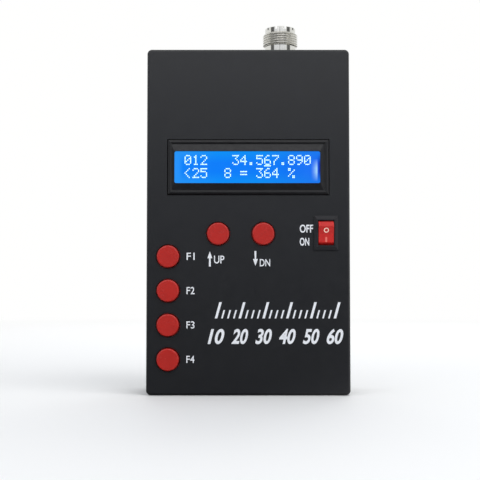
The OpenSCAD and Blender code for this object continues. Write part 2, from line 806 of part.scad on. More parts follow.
module antenna_lead() {
    z = body_h + cup_end - 3;
    color([0.9, 0.9, 0.85])
        wire([[socket_x, 0, body_h + cup_end + 3.9], [socket_x, 0, z],
              [socket_x, main_rear_y, z]], 0.6);
}

// ---------------------------------------------------------------- supply connectors

module dc_jack_body() {
    w = 9;
    len = 14;
    bore = 3.1;
    color([0.06, 0.06, 0.06]) difference() {
        union() {
            block([jack_x - w / 2, main_rear_y, inner_top - len],
                  [jack_x + w / 2, main_rear_y + 11, inner_top]);
            translate([jack_x, jack_y, inner_top - slack]) cylinder(r = 3.9, h = wall - 0.2);
        }
        translate([jack_x, jack_y, inner_top - 8.2]) cylinder(r = bore, h = 12);
        translate([jack_x, jack_y, inner_top - 12]) cylinder(r = 1 + slack, h = 5);
    }
}

module dc_jack_pin() {
    color([0.8, 0.8, 0.8]) translate([jack_x, jack_y, inner_top - 12]) {
        cylinder(r = 1, h = 12);
        translate([0, 0, 12]) cylinder(r1 = 1, r2 = 0.6, h = 0.6);
    }
}

module usb_shell() {
    skin = 0.35;
    color([0.75, 0.75, 0.77]) translate([usb_x, usb_y, tongue_top - 8]) difference() {
        linear_extrude(9.2) rounded_rect(usb_w, usb_h, 0.6);
        translate([0, 0, 1]) linear_extrude(9)
            rounded_rect(usb_w - 2 * skin, usb_h - 2 * skin, 0.4);
    }
}

module usb_tongue() {
    color([0.08, 0.08, 0.08]) translate([usb_x, usb_y + 0.5, tongue_top - 7])
        linear_extrude(7) square([4.6, 0.9], center = true);
}

// ---------------------------------------------------------------- battery pack

// Places a child at the middle of each of the eight cells, with $up = 1 where the nub is on top
module each_cell() {
    for (i = [0:3], j = [0, 1]) {
        $up = (i + j) % 2;
        translate([(i - 1.5) * cell_pitch, cell_y,
                   holder_z0 + end_wall + j * (row_len + end_wall)]) children();
    }
}

module battery_holder() {
    cusp = [3.4, 0.25, 5.4];             // half width at foot and tip, height
    color([0.1, 0.1, 0.1]) difference() {
        block([-holder_w / 2, holder_y0, holder_z0], [holder_w / 2, holder_y1, holder_z1]);
        difference() {
            for (j = [0, 1]) translate([0, 0, holder_z0 + end_wall + j * (row_len + end_wall)])
                block([-holder_w / 2 + holder_wall, holder_y0 - 1, 0],
                      [holder_w / 2 - holder_wall, holder_y1 - holder_wall, row_len]);
            // cusps between neighbouring cells
            for (x = [-1, 0, 1]) translate([x * cell_pitch, holder_y1, holder_z0])
                linear_extrude(holder_z1 - holder_z0)
                    polygon([[-cusp[0], 0], [-cusp[1], -cusp[2]], [cusp[1], -cusp[2]], [cusp[0], 0]]);
        }
        each_cell() translate([0, 0, -slack]) cylinder(r = cell_d / 2 + 0.05, h = row_len + 2 * slack);
    }
}

module battery_cells() {
    color([0.2, 0.5, 0.3]) each_cell()
        translate([0, 0, $up ? contact_t + spring_h : row_len - contact_t - spring_h])
            mirror([0, 0, $up ? 0 : 1]) {
                rotate_extrude() {
                    square([cell_d / 2 - 0.4, cell_len - nub_h]);
                    translate([0, 0.4]) square([cell_d / 2, cell_len - nub_h - 0.8]);
                }
                translate([0, 0, cell_len - nub_h - slack]) cylinder(r = 2.65, h = nub_h + slack);
            }
}

module battery_contacts() {
    color([0.75, 0.75, 0.72]) each_cell()
        translate([0, 0, $up ? 0 : row_len]) mirror([0, 0, $up ? 0 : 1]) {
            translate([-4.5, -4.5, 0]) cube([9, 9, contact_t]);
            translate([0, 0, contact_t - slack]) cylinder(r1 = 4, r2 = 2.6, h = spring_h + slack);
            translate([-4.5, -4.5, row_len - contact_t]) cube([9, 9, contact_t]);
        }
}

module battery_tape() {
    color([0.9, 0.9, 0.88]) for (z = [30, 96])
        block([-24, holder_y1, z - 10], [24, floor_y, z + 10]);
}

module battery_lead(s) {
    turn_y = cell_y;
    x = plug[0] + s * plug_pitch / 2;
    wire([[x, main_rear_y + plug_h, plug[1]], [x, turn_y, plug[1]], [x, turn_y, holder_z1]], 0.7);
}

module battery_lead_positive() { color([0.75, 0.08, 0.08]) battery_lead(-1); }
module battery_lead_negative() { color([0.05, 0.05, 0.05]) battery_lead(1); }

module battery_connector() {
    color([0.92, 0.9, 0.84]) {
        block([plug[0] - 3.7, main_rear_y, plug[1] - 2.9],
              [plug[0] + 3.7, main_rear_y + 6, plug[1] + 2.9]);
        block([plug[0] - 3.1, main_rear_y + 5.9, plug[1] - 2.3],
              [plug[0] + 3.1, main_rear_y + plug_h, plug[1] + 2.3]);
    }
}

// ---------------------------------------------------------------- board components

// Flat chip on the rear of the board: a body with rows of leads on two or four sides
module flat_chip(x, z, w, h, t, pins, pitch, sides) {
    stand = 0.2;
    lead = [0.4, 1.1];
    along_y(main_rear_y + stand, main_rear_y + t) translate([x, z])
        square([w, h], center = true);
    for (a = [0:sides - 1], i = [0:pins - 1])
        translate([x, 0, z]) rotate([0, a * 360 / sides, 0])
            translate([(i - (pins - 1) / 2) * pitch, 0, (sides == 2 ? h : w) / 2])
                block([-lead[0] / 2, main_rear_y, -0.1],
                      [lead[0] / 2, main_rear_y + 0.7, lead[1]]);
}

module microcontroller() {
    color([0.07, 0.07, 0.07]) flat_chip(-6, 48, 14, 14, 1.6, 10, 1.27, 4);
}

module dds_chip() {
    color([0.07, 0.07, 0.07]) flat_chip(16, 96, 10.4, 5.3, 1.9, 14, 0.7, 2);
}

module oscillator_can() {
    color([0.78, 0.78, 0.78]) {
        along_y(main_rear_y, main_rear_y + 0.8) translate([-10, 92]) rounded_rect(20.8, 13.2, 1.8);
        along_y(main_rear_y + 0.7, main_rear_y + 5) translate([-10, 92])
            rounded_rect(19.6, 12, 1.8);
    }
}

module bridge_toroids() {
    core = [2.6, 4.75, 3.3];
    turns = 14;
    color([0.75, 0.45, 0.15]) for (p = [[-1, 136], [28.5, 136.8]])
        translate([p[0], main_rear_y + 0.3, p[1]]) rotate([-90, 0, 0]) {
            difference() {
                cylinder(r = core[1], h = core[2]);
                translate([0, 0, -1]) cylinder(r = core[0], h = core[2] + 2);
            }
            // each turn of wire lies over the core as a flat band
            for (i = [0:turns - 1]) rotate(i * 300 / turns) difference() {
                translate([core[0] - 0.4, -0.25, -0.3])
                    cube([core[1] - core[0] + 0.8, 0.5, core[2] + 0.6]);
                translate([core[0] + 0.1, -1, 0.1])
                    cube([core[1] - core[0] - 0.2, 2, core[2] - 0.2]);
            }
        }
}

module bridge_resistors() {
    r = 1.15;
    body = 6.3;
    span = 10;
    color([0.55, 0.7, 0.8]) for (p = [[9, 131.5], [19.8, 131.3], [-20, 112], [-20, 108]])
        translate([p[0], main_rear_y + 1.4, p[1]]) {
            rotate([0, 90, 0]) translate([0, 0, -body / 2]) rotate_extrude() {
                translate([0, 0.3]) square([r - 0.2, body - 0.6]);
                for (h = [0, body - 1.6]) translate([0, h]) square([r, 1.6]);
            }
            wire([[-body / 2, 0, 0], [-span / 2, 0, 0], [-span / 2, -1.4, 0]], 0.3);
            wire([[body / 2, 0, 0], [span / 2, 0, 0], [span / 2, -1.4, 0]], 0.3);
        }
}

module electrolytic_capacitors() {
    color([0.1, 0.15, 0.35]) for (x = [-15.5, -6.5]) translate([x, main_rear_y, 126])
        rotate([-90, 0, 0]) rotate_extrude() {
            square([4, 1]);
            square([3.8, 2]);
            translate([0, 1.8]) square([4, 9.2]);
            square([3.6, 11.4]);
        }
}

module trim_potentiometers() {
    color([0.1, 0.3, 0.75]) for (i = [0:3]) translate([9.8 + i * 6.2, main_rear_y, 124]) {
        difference() {
            union() {
                block([-2.4, 0, -4.75], [2.4, 9.4, 4.75]);
                translate([0, 9.3, 3]) rotate([-90, 0, 0]) cylinder(r = 1.2, h = 1.3);
            }
            block([-1.2, 10, 2.8], [1.2, 11, 3.2]);
        }
    }
}

module voltage_regulator() {
    color([0.3, 0.3, 0.3]) difference() {
        union() {
            block([-32, main_rear_y, 123.5], [-22, main_rear_y + 1.3, 133.4]);
            block([-32, main_rear_y, 119.2], [-22, main_rear_y + 4.5, 127.5]);
            for (i = [-1, 0, 1]) block([-27.4 + i * 2.54, main_rear_y, 117],
                                       [-26.6 + i * 2.54, main_rear_y + 0.6, 119.4]);
        }
        bar_y(-27, 130.6, 1.8, main_rear_y - 1, main_rear_y + 3);
    }
}

// ---------------------------------------------------------------- nodes

front_shell();
rear_cover();
cover_screws();
lcd_bezel();
lcd_glass();
lcd_light_guide();
lcd_backlight_led();
lcd_contact_strips();
lcd_board();
lcd_driver_blobs();
lcd_header();
lcd_spacers();
lcd_screws();
lcd_nuts();
main_board();
board_screws();
switch_bases();
switch_domes();
switch_covers();
for (b = BUTTONS) {
    button_cap(b[1], b[2]);
    button_plunger(b[1], b[2]);
}
rocker_housing();
rocker();
rocker_terminals();
rocker_leads();
antenna_socket_shell();
antenna_socket_insulator();
antenna_socket_contact();
antenna_socket_screws();
antenna_socket_nuts();
antenna_lead();
dc_jack_body();
dc_jack_pin();
usb_shell();
usb_tongue();
battery_holder();
battery_cells();
battery_contacts();
battery_tape();
battery_lead_positive();
battery_lead_negative();
battery_connector();
microcontroller();
dds_chip();
oscillator_can();
bridge_toroids();
bridge_resistors();
electrolytic_capacitors();
trim_potentiometers();
voltage_regulator();
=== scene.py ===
"""Looks of a handheld antenna analyser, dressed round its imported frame.

The frame brings every rigid piece at its real place and size. This script gives each piece its
finish and adds what a solid model leaves out: the cut thread of the antenna socket, the lit
characters of the display, the printed legends and the marks on the rocker switch. Lengths are
in metres. +X is right, +Z is up and the front of the case faces -Y.
"""

from __future__ import annotations

import json
import logging
import math
from dataclasses import dataclass, field
from enum import Enum
from typing import Sequence

import bmesh
import bpy
import numpy as np
from mathutils import Matrix, Vector

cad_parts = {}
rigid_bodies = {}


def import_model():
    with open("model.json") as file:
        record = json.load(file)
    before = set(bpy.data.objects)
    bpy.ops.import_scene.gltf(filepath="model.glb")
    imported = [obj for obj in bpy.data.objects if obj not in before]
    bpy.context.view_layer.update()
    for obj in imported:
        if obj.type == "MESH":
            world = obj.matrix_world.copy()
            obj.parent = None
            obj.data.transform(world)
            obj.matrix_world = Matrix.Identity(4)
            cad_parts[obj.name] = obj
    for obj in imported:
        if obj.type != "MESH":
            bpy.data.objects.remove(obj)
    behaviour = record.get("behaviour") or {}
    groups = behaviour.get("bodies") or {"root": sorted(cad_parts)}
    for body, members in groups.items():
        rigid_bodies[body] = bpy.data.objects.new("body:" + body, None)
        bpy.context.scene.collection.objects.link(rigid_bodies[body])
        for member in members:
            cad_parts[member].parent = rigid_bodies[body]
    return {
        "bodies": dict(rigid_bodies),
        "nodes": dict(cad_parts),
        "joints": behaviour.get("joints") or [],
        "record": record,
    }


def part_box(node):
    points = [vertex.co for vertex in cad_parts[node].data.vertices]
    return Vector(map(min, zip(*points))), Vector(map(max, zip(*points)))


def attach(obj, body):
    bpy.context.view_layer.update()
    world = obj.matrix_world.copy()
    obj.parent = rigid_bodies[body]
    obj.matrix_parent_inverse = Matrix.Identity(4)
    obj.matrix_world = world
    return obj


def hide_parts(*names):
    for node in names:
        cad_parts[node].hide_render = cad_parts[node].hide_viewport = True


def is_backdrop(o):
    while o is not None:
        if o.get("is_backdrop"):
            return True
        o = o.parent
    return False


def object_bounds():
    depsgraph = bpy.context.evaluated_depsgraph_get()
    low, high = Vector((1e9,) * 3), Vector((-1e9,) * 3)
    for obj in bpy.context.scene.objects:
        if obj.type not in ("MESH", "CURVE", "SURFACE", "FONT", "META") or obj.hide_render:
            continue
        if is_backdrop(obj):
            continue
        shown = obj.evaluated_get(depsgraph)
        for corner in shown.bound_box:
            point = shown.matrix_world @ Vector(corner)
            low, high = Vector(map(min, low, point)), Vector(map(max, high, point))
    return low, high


LOG = logging.getLogger("analyser")
MM = 0.001

# Points closer together than this are joined.
WELD = 1e-7

Colour = tuple[float, float, float]
Point = tuple[float, float, float]
Socket = bpy.types.NodeSocket

# White of the background, behind the part and far out on the floor.
BACKDROP: Colour = (1.0, 1.0, 0.995)


def screen(red: float, green: float, blue: float) -> Colour:
    """Linear colour of a screen colour.

    The screen curve is undone channel by channel: value / 12.92 near black, and otherwise
    ((value + 0.055) / 1.055) to the power 2.4.

    Args:
        red: Red from 0 to 255.
        green: Green from 0 to 255.
        blue: Blue from 0 to 255.

    Returns:
        The linear red, green and blue.
    """
    value = np.array([red, green, blue]) / 255.0
    linear = np.where(value <= 0.04045, value / 12.92, ((value + 0.055) / 1.055) ** 2.4)
    return tuple(float(part) for part in linear)


def shade(colour: Colour, share: float) -> Colour:
    """The colour made lighter or darker by a share of itself, at most 1 a channel."""
    return tuple(min(1.0, part * (1.0 + share)) for part in colour)


# ---------------------------------------------------------------- finishes


class Slot(str, Enum):
    """Material slots of the part's record, by the finish that they stand for."""

    CASE = "case_plastic"
    BLACK_STEEL = "black_steel"
    BEZEL = "bezel_black"
    DISPLAY = "display_blue"
    CLEAR = "clear_acrylic"
    LED = "led_yellow"
    PINK_RUBBER = "pink_silicone"
    BOARD = "board_green"
    CHIP = "chip_black"
    HEADER = "header_black"
    WHITE_NYLON = "nylon_white"
    NICKEL = "nickel"
    SWITCH = "switch_black"
    STEM = "stem_white"
    RED_BUTTON = "button_red"
    HOUSING = "housing_black"
    RED_ROCKER = "rocker_red"
    BRASS = "contact_brass"
    RED_WIRE = "wire_red"
    BLACK_WIRE = "wire_black"
    SOCKET_METAL = "socket_metal"
    DIELECTRIC = "dielectric"
    TINNED_WIRE = "tinned_wire"
    HOLDER = "holder_black"
    CELL_SLEEVE = "cell_sleeve"
    FOAM = "foam_white"
    COPPER = "copper_wire"
    RESISTOR = "resistor_blue"
    CAPACITOR = "capacitor_blue"
    TRIMMER = "trimmer_blue"


class Sketch:
    """Helpers that draw patterns of numbers and colours in one node tree."""

    def __init__(self, tree: bpy.types.NodeTree) -> None:
        """Takes the tree to draw in.

        Args:
            tree: Node tree of a material or of the surroundings.
        """
        self.nodes = tree.nodes
        self.links = tree.links

    def feed(self, socket: Socket, value: Socket | float | Colour) -> None:
        """Links a pattern to a socket, or sets a constant on it.

        Args:
            socket: The socket that takes the value.
            value: Pattern, number or colour.
        """
        if isinstance(value, bpy.types.NodeSocket):
            self.links.new(value, socket)
        else:
            socket.default_value = (*value, 1.0) if isinstance(value, tuple) else value

    def between(self, source: Socket, low: float, high: float,
                ends: tuple[float, float] = (0.3, 0.7)) -> Socket:
        """A pattern spread from one number to another.

        Args:
            source: The pattern.
            low: Result at the lower end.
            high: Result at the upper end.
            ends: The pattern's values that stand for the two ends.

        Returns:
            The clamped result.
        """
        spread = self.nodes.new("ShaderNodeMapRange")
        self.links.new(source, spread.inputs["Value"])
        for name, value in zip(("From Min", "From Max", "To Min", "To Max"), (*ends, low, high)):
            spread.inputs[name].default_value = value
        return spread.outputs["Result"]

    def ramp(self, source: Socket, stops: Sequence[tuple[float, Colour]]) -> Socket:
        """Colours along a pattern.

        Args:
            source: The pattern, from 0 to 1.
            stops: Places and their colours, in order.

        Returns:
            The colour.
        """
        node = self.nodes.new("ShaderNodeValToRGB")
        points = node.color_ramp.elements
        while len(points) < len(stops):
            points.new(1.0)
        for point, (where, colour) in zip(points, stops):
            point.position = where
            point.color = (*colour, 1.0)
        self.links.new(source, node.inputs["Fac"])
        return node.outputs["Color"]

    def mingled(self, source: Socket, first: Colour, second: Colour) -> Socket:
        """Two colours mixed by a pattern around 0.5."""
        return self.ramp(source, [(0.3, first), (0.7, second)])

    def math(self, kind: str, first: Socket | float, second: Socket | float = 0.0) -> Socket:
        """One operation on numbers or patterns.

        Args:
            kind: Name of the operation.
            first: Its first number or pattern.
            second: Its second one.

        Returns:
            The result.
        """
        node = self.nodes.new("ShaderNodeMath")
        node.operation = kind
        for socket, value in zip(node.inputs, (first, second)):
            self.feed(socket, value)
        return node.outputs["Value"]

    def mixed(self, share: Socket, first: Socket | Colour, second: Socket | Colour) -> Socket:
        """Two colours mixed by a share.

        Args:
            share: 0 for the first colour alone, 1 for the second alone.
            first: The first colour.
            second: The second colour.

        Returns:
            The mixed colour.
        """
        mix = self.nodes.new("ShaderNodeMix")
        mix.data_type = "RGBA"
        # Numbers of the sockets that the node uses in its colour mode.
        factor, one, other, result = 0, 6, 7, 2
        for number, source in ((factor, share), (one, first), (other, second)):
            self.feed(mix.inputs[number], source)
        return mix.outputs[result]

    def peak(self, source: Socket, middle: float, flat: float, foot: float) -> Socket:
        """A hill: 1 within flat of the middle, falling to 0 at foot from it."""
        away = self.math("ABSOLUTE", self.math("SUBTRACT", source, middle))
        return self.between(away, 1.0, 0.0, (flat, foot))

    def parts(self, vector: Socket) -> tuple[Socket, Socket, Socket]:
        """Splits a vector.

        Args:
            vector: The vector.

        Returns:
            Its X, Y and Z.
        """
        split = self.nodes.new("ShaderNodeSeparateXYZ")
        self.links.new(vector, split.inputs["Vector"])
        return split.outputs["X"], split.outputs["Y"], split.outputs["Z"]

    def blended(self, share: Socket, first: Socket, second: Socket) -> Socket:
        """Two shaders mixed by a share.

        Args:
            share: 0 for the first shader alone, 1 for the second alone.
            first: The first shader.
            second: The second shader.

        Returns:
            The mixed shader.
        """
        mix = self.nodes.new("ShaderNodeMixShader")
        self.links.new(share, mix.inputs["Fac"])
        self.links.new(first, mix.inputs[1])
        self.links.new(second, mix.inputs[2])
        return mix.outputs["Shader"]

    def mirror_rays(self) -> Socket:
        """1 for rays off gloss and metal or through glass, 0 for others."""
        path = self.nodes.new("ShaderNodeLightPath")
        return self.math("MAXIMUM", path.outputs["Is Glossy Ray"], path.outputs["Is Transmission Ray"])


class Recipe(Sketch):
    """Builds the nodes of one material. Patterns lie on object coordinates, in metres."""

    def __init__(self, name: str) -> None:
        """Starts a material with a Principled shader.

        Args:
            name: Name of the material.
        """
        self.material = bpy.data.materials.new(name)
        self.material.use_nodes = True
        super().__init__(self.material.node_tree)
        self.shader = next(n for n in self.nodes if n.type == "BSDF_PRINCIPLED")
        self.place = self.nodes.new("ShaderNodeTexCoord").outputs["Object"]

    def fix(self, **values: float | Colour) -> None:
        """Sets constants on the shader's own sockets, named with underscores for spaces."""
        for name, value in values.items():
            self.feed(self.shader.inputs[name.replace("_", " ")], value)

    def drive(self, name: str, source: Socket) -> None:
        """Feeds one of the shader's sockets from a pattern."""
        self.links.new(source, self.shader.inputs[name])

    def stretched(self, scale: Point) -> Socket:
        """Object coordinates multiplied along each axis.

        Args:
            scale: What each axis is multiplied by.

        Returns:
            The stretched coordinates.
        """
        mapping = self.nodes.new("ShaderNodeMapping")
        mapping.inputs["Scale"].default_value = scale
        self.links.new(self.place, mapping.inputs["Vector"])
        return mapping.outputs["Vector"]

    def noise(self, size: float, detail: float = 3.0, stretch: Point = (1.0, 1.0, 1.0)) -> Socket:
        """Soft noise.

        Args:
            size: Width of its patches.
            detail: Number of finer octaves.
            stretch: Squeeze along each axis; a small number draws the patches out.

        Returns:
            A value around 0.5.
        """
        texture = self.nodes.new("ShaderNodeTexNoise")
        texture.inputs["Scale"].default_value = 1.0
        texture.inputs["Detail"].default_value = detail
        self.links.new(self.stretched(tuple(s / size for s in stretch)), texture.inputs["Vector"])
        return texture.outputs["Fac"]

    def grains(self, size: float) -> Socket:
        """Distance to the nearest of scattered points, for a pebbled surface.

        Args:
            size: Distance between the points.

        Returns:
            The distance, as a share of the size.
        """
        texture = self.nodes.new("ShaderNodeTexVoronoi")
        texture.inputs["Scale"].default_value = 1.0
        self.links.new(self.stretched((1 / size, 1 / size, 1 / size)), texture.inputs["Vector"])
        return texture.outputs["Distance"]

    def emboss(self, height: Socket, depth: float, below: Socket | None = None) -> Socket:
        """Relief in the surface.

        Args:
            height: Pattern of the relief.
            depth: Its real depth.
            below: A relief that this one lies on.

        Returns:
            The bent normal.
        """
        bump = self.nodes.new("ShaderNodeBump")
        bump.inputs["Distance"].default_value = depth
        self.links.new(height, bump.inputs["Height"])
        if below is not None:
            self.links.new(below, bump.inputs["Normal"])
        return bump.outputs["Normal"]


@dataclass(frozen=True)
class MouldedPlastic:
    """Moulded plastic with clouded colour, uneven gloss and a fine grain.

    Attributes:
        colour: Main colour.
        roughness: Middle of the roughness.
        clouding: Share by which the colour varies.
        grain: Width of the grain.
        relief: Depth of the grain.
        coat: Strength of a clear gloss on top.
        mirror: Strength of the plastic's own gloss; 0.5 is plain.
    """

    colour: Colour
    roughness: float = 0.45
    clouding: float = 0.08
    grain: float = 0.2 * MM
    relief: float = 0.006 * MM
    coat: float = 0.0
    mirror: float = 0.5

    def paint(self, name: str) -> bpy.types.Material:
        """Makes the material of the finish.

        Args:
            name: Name of the material.

        Returns:
            The material.
        """
        recipe = Recipe(name)
        recipe.fix(IOR=1.5, Specular_IOR_Level=self.mirror, Coat_Weight=self.coat, Coat_Roughness=0.12)
        cloud = recipe.noise(9 * MM, detail=5.0)
        recipe.drive("Base Color", recipe.mingled(
            cloud, shade(self.colour, -self.clouding), shade(self.colour, self.clouding)))
        recipe.drive("Roughness", recipe.between(
            recipe.noise(3 * MM), self.roughness - 0.03, self.roughness + 0.03))
        wave = recipe.emboss(recipe.noise(2.5 * MM, detail=1.0), self.relief * 0.3)
        recipe.drive("Normal", recipe.emboss(recipe.grains(self.grain), self.relief, wave))
        return recipe.material


@dataclass(frozen=True)
class BareMetal:
    """Bare or plated metal with fine tool marks and stains of dullness.

    Attributes:
        colour: Reflected colour.
        roughness: Middle of the roughness.
        marks: Squeeze of the tool marks along each axis.
        relief: Depth of the tool marks.
        spread: How far the roughness varies either way.
    """

    colour: Colour
    roughness: float = 0.18
    marks: Point = (0.2, 0.2, 8.0)
    relief: float = 0.001 * MM
    spread: float = 0.05

    def paint(self, name: str) -> bpy.types.Material:
        """Makes the material of the finish.

        Args:
            name: Name of the material.

        Returns:
            The material.
        """
        recipe = Recipe(name)
        recipe.fix(Metallic=1.0)
        stain = recipe.noise(2 * MM, detail=4.0)
        recipe.drive("Base Color", recipe.mingled(stain, shade(self.colour, -0.1), self.colour))
        recipe.drive("Roughness", recipe.between(
            recipe.noise(0.8 * MM), self.roughness - self.spread, self.roughness + self.spread))
        lines = recipe.noise(0.4 * MM, detail=2.0, stretch=self.marks)
        recipe.drive("Normal", recipe.emboss(lines, self.relief))
        return recipe.material


@dataclass(frozen=True)
class SatinPaint:
    """Baked black paint on sheet metal, with a soft gloss and faint orange peel.

    Attributes:
        colour: Colour of the paint.
        roughness: Middle of the roughness.
    """

    colour: Colour
    roughness: float = 0.36

    def paint(self, name: str) -> bpy.types.Material:
        """Makes the material of the finish.

        Args:
            name: Name of the material.

        Returns:
            The material.
        """
        recipe = Recipe(name)
        recipe.fix(IOR=1.5, Specular_IOR_Level=0.42, Coat_Weight=0.05, Coat_Roughness=0.25)
        recipe.drive("Base Color", recipe.mingled(
            recipe.noise(4 * MM), shade(self.colour, -0.15), shade(self.colour, 0.15)))
        recipe.drive("Roughness", recipe.between(
            recipe.noise(1.2 * MM), self.roughness - 0.05, self.roughness + 0.07))
        recipe.drive("Normal", recipe.emboss(recipe.noise(0.6 * MM, detail=1.0), 0.003 * MM))
        return recipe.material


@dataclass(frozen=True)
class CircuitBoard:
    """Solder-masked board: lacquer over copper tracks that show as lighter, raised lines.

    Attributes:
        mask: Colour of the lacquer.
        track: Colour where copper lies under it.
    """

    mask: Colour
    track: Colour

    def paint(self, name: str) -> bpy.types.Material:
        """Makes the material of the finish.

        Args:
            name: Name of the material.

        Returns:
            The material.
        """
        recipe = Recipe(name)
        recipe.fix(IOR=1.5, Coat_Weight=0.5, Coat_Roughness=0.1)
        per_metre = 160.0
        bricks = recipe.nodes.new("ShaderNodeTexBrick")
        bricks.inputs["Scale"].default_value = 1.0
        bricks.inputs["Mortar Size"].default_value = 0.06
        bricks.inputs["Color1"].default_value = (*self.mask, 1.0)
        bricks.inputs["Color2"].default_value = (*shade(self.mask, 0.2), 1.0)
        bricks.inputs["Mortar"].default_value = (*self.track, 1.0)
        turned = recipe.nodes.new("ShaderNodeMapping")
        turned.inputs["Rotation"].default_value = (math.radians(90), 0.0, 0.0)
        turned.inputs["Scale"].default_value = (per_metre, per_metre, per_metre)
        recipe.links.new(recipe.place, turned.inputs["Vector"])
        recipe.links.new(turned.outputs["Vector"], bricks.inputs["Vector"])
        recipe.drive("Base Color", bricks.outputs["Color"])
        recipe.drive("Roughness", recipe.between(recipe.noise(2 * MM), 0.28, 0.4))
        recipe.drive("Normal", recipe.emboss(bricks.outputs["Fac"], 0.02 * MM))
        return recipe.material


@dataclass(frozen=True)
class Banded:
    """Lacquered or wound body with bands across an axis: a resistor's rings or a coil's turns. On a coil,
    the band colour on each raised turn is a painted highlight and the main colour between turns is painted
    shade.

    Attributes:
        colour: Main colour.
        band: Colour of the bands.
        pitch: Distance between bands.
        metallic: 1 for bare wire, 0 for lacquer.
    """

    colour: Colour
    band: Colour
    pitch: float
    metallic: float = 0.0

    def paint(self, name: str) -> bpy.types.Material:
        """Makes the material of the finish.

        Args:
            name: Name of the material.

        Returns:
            The material.
        """
        recipe = Recipe(name)
        recipe.fix(Metallic=self.metallic, IOR=1.5)
        waves = recipe.nodes.new("ShaderNodeTexWave")
        waves.inputs["Scale"].default_value = 1.0
        waves.inputs["Distortion"].default_value = 0.4
        across = recipe.stretched((0.3 / self.pitch, 0.3 / self.pitch, 0.3 / self.pitch))
        recipe.links.new(across, waves.inputs["Vector"])
        stripes = waves.outputs["Fac"]
        # On a coil, the band colour on each raised stripe is a painted highlight and the main colour between
        # stripes is painted shade. On a resistor or a rubber strip, both are the thing's own colours.
        recipe.drive("Base Color", recipe.ramp(stripes, [(0.55, self.colour), (0.75, self.band)]))
        recipe.drive("Roughness", recipe.between(recipe.noise(1 * MM), 0.25, 0.4))
        recipe.drive("Normal", recipe.emboss(stripes, 0.05 * MM * self.metallic + 0.004 * MM))
        return recipe.material


@dataclass(frozen=True)
class ClearPlastic:
    """Clear or milky moulded plastic that light passes through, with faint flow lines.

    Attributes:
        colour: Tint.
        roughness: Middle of the roughness.
        passing: Share of the light that passes through.
    """

    colour: Colour
    roughness: float = 0.2
    passing: float = 0.6

    def paint(self, name: str) -> bpy.types.Material:
        """Makes the material of the finish.

        Args:
            name: Name of the material.

        Returns:
            The material.
        """
        recipe = Recipe(name)
        recipe.fix(IOR=1.49, Transmission_Weight=self.passing)
        recipe.drive("Base Color", recipe.mingled(
            recipe.noise(5 * MM), shade(self.colour, -0.06), self.colour))
        recipe.drive("Roughness", recipe.between(
            recipe.noise(1 * MM), self.roughness - 0.05, self.roughness + 0.1))
        lines = recipe.noise(2 * MM, detail=1.0, stretch=(0.3, 1.0, 1.0))
        recipe.drive("Normal", recipe.emboss(lines, 0.01 * MM))
        return recipe.material


@dataclass(frozen=True)
class Foam:
    """Open foam with fine pores, painted darker in their pits as shade.

    Attributes:
        colour: Colour of the foam.
    """

    colour: Colour

    def paint(self, name: str) -> bpy.types.Material:
        """Makes the material of the finish.

        Args:
            name: Name of the material.

        Returns:
            The material.
        """
        recipe = Recipe(name)
        pores = recipe.grains(0.5 * MM)
        # Painted shade: the colour darkens towards the pit of each pore.
        recipe.drive("Base Color", recipe.mingled(pores, shade(self.colour, -0.25), self.colour))
        recipe.drive("Roughness", recipe.between(pores, 0.95, 0.8))
        recipe.drive("Normal", recipe.emboss(pores, 0.15 * MM))
        return recipe.material


@dataclass(frozen=True)
class Ink:
    """Screen-printed ink with a slightly uneven cover.

    Attributes:
        colour: Colour of the ink.
        glow: Strength of its own light, for the lit dots of a display.
    """

    colour: Colour
    glow: float = 0.0

    def paint(self, name: str) -> bpy.types.Material:
        """Makes the material of the finish.

        Args:
            name: Name of the material.

        Returns:
            The material.
        """
        recipe = Recipe(name)
        cover = recipe.noise(0.6 * MM, detail=4.0)
        colours = recipe.mingled(cover, shade(self.colour, -0.08), self.colour)
        recipe.drive("Base Color", colours)
        recipe.drive("Roughness", recipe.between(cover, 0.4, 0.55))
        recipe.drive("Normal", recipe.emboss(cover, 0.004 * MM))
        if self.glow:
            recipe.drive("Emission Color", colours)
            recipe.fix(Emission_Strength=self.glow)
        return recipe.material


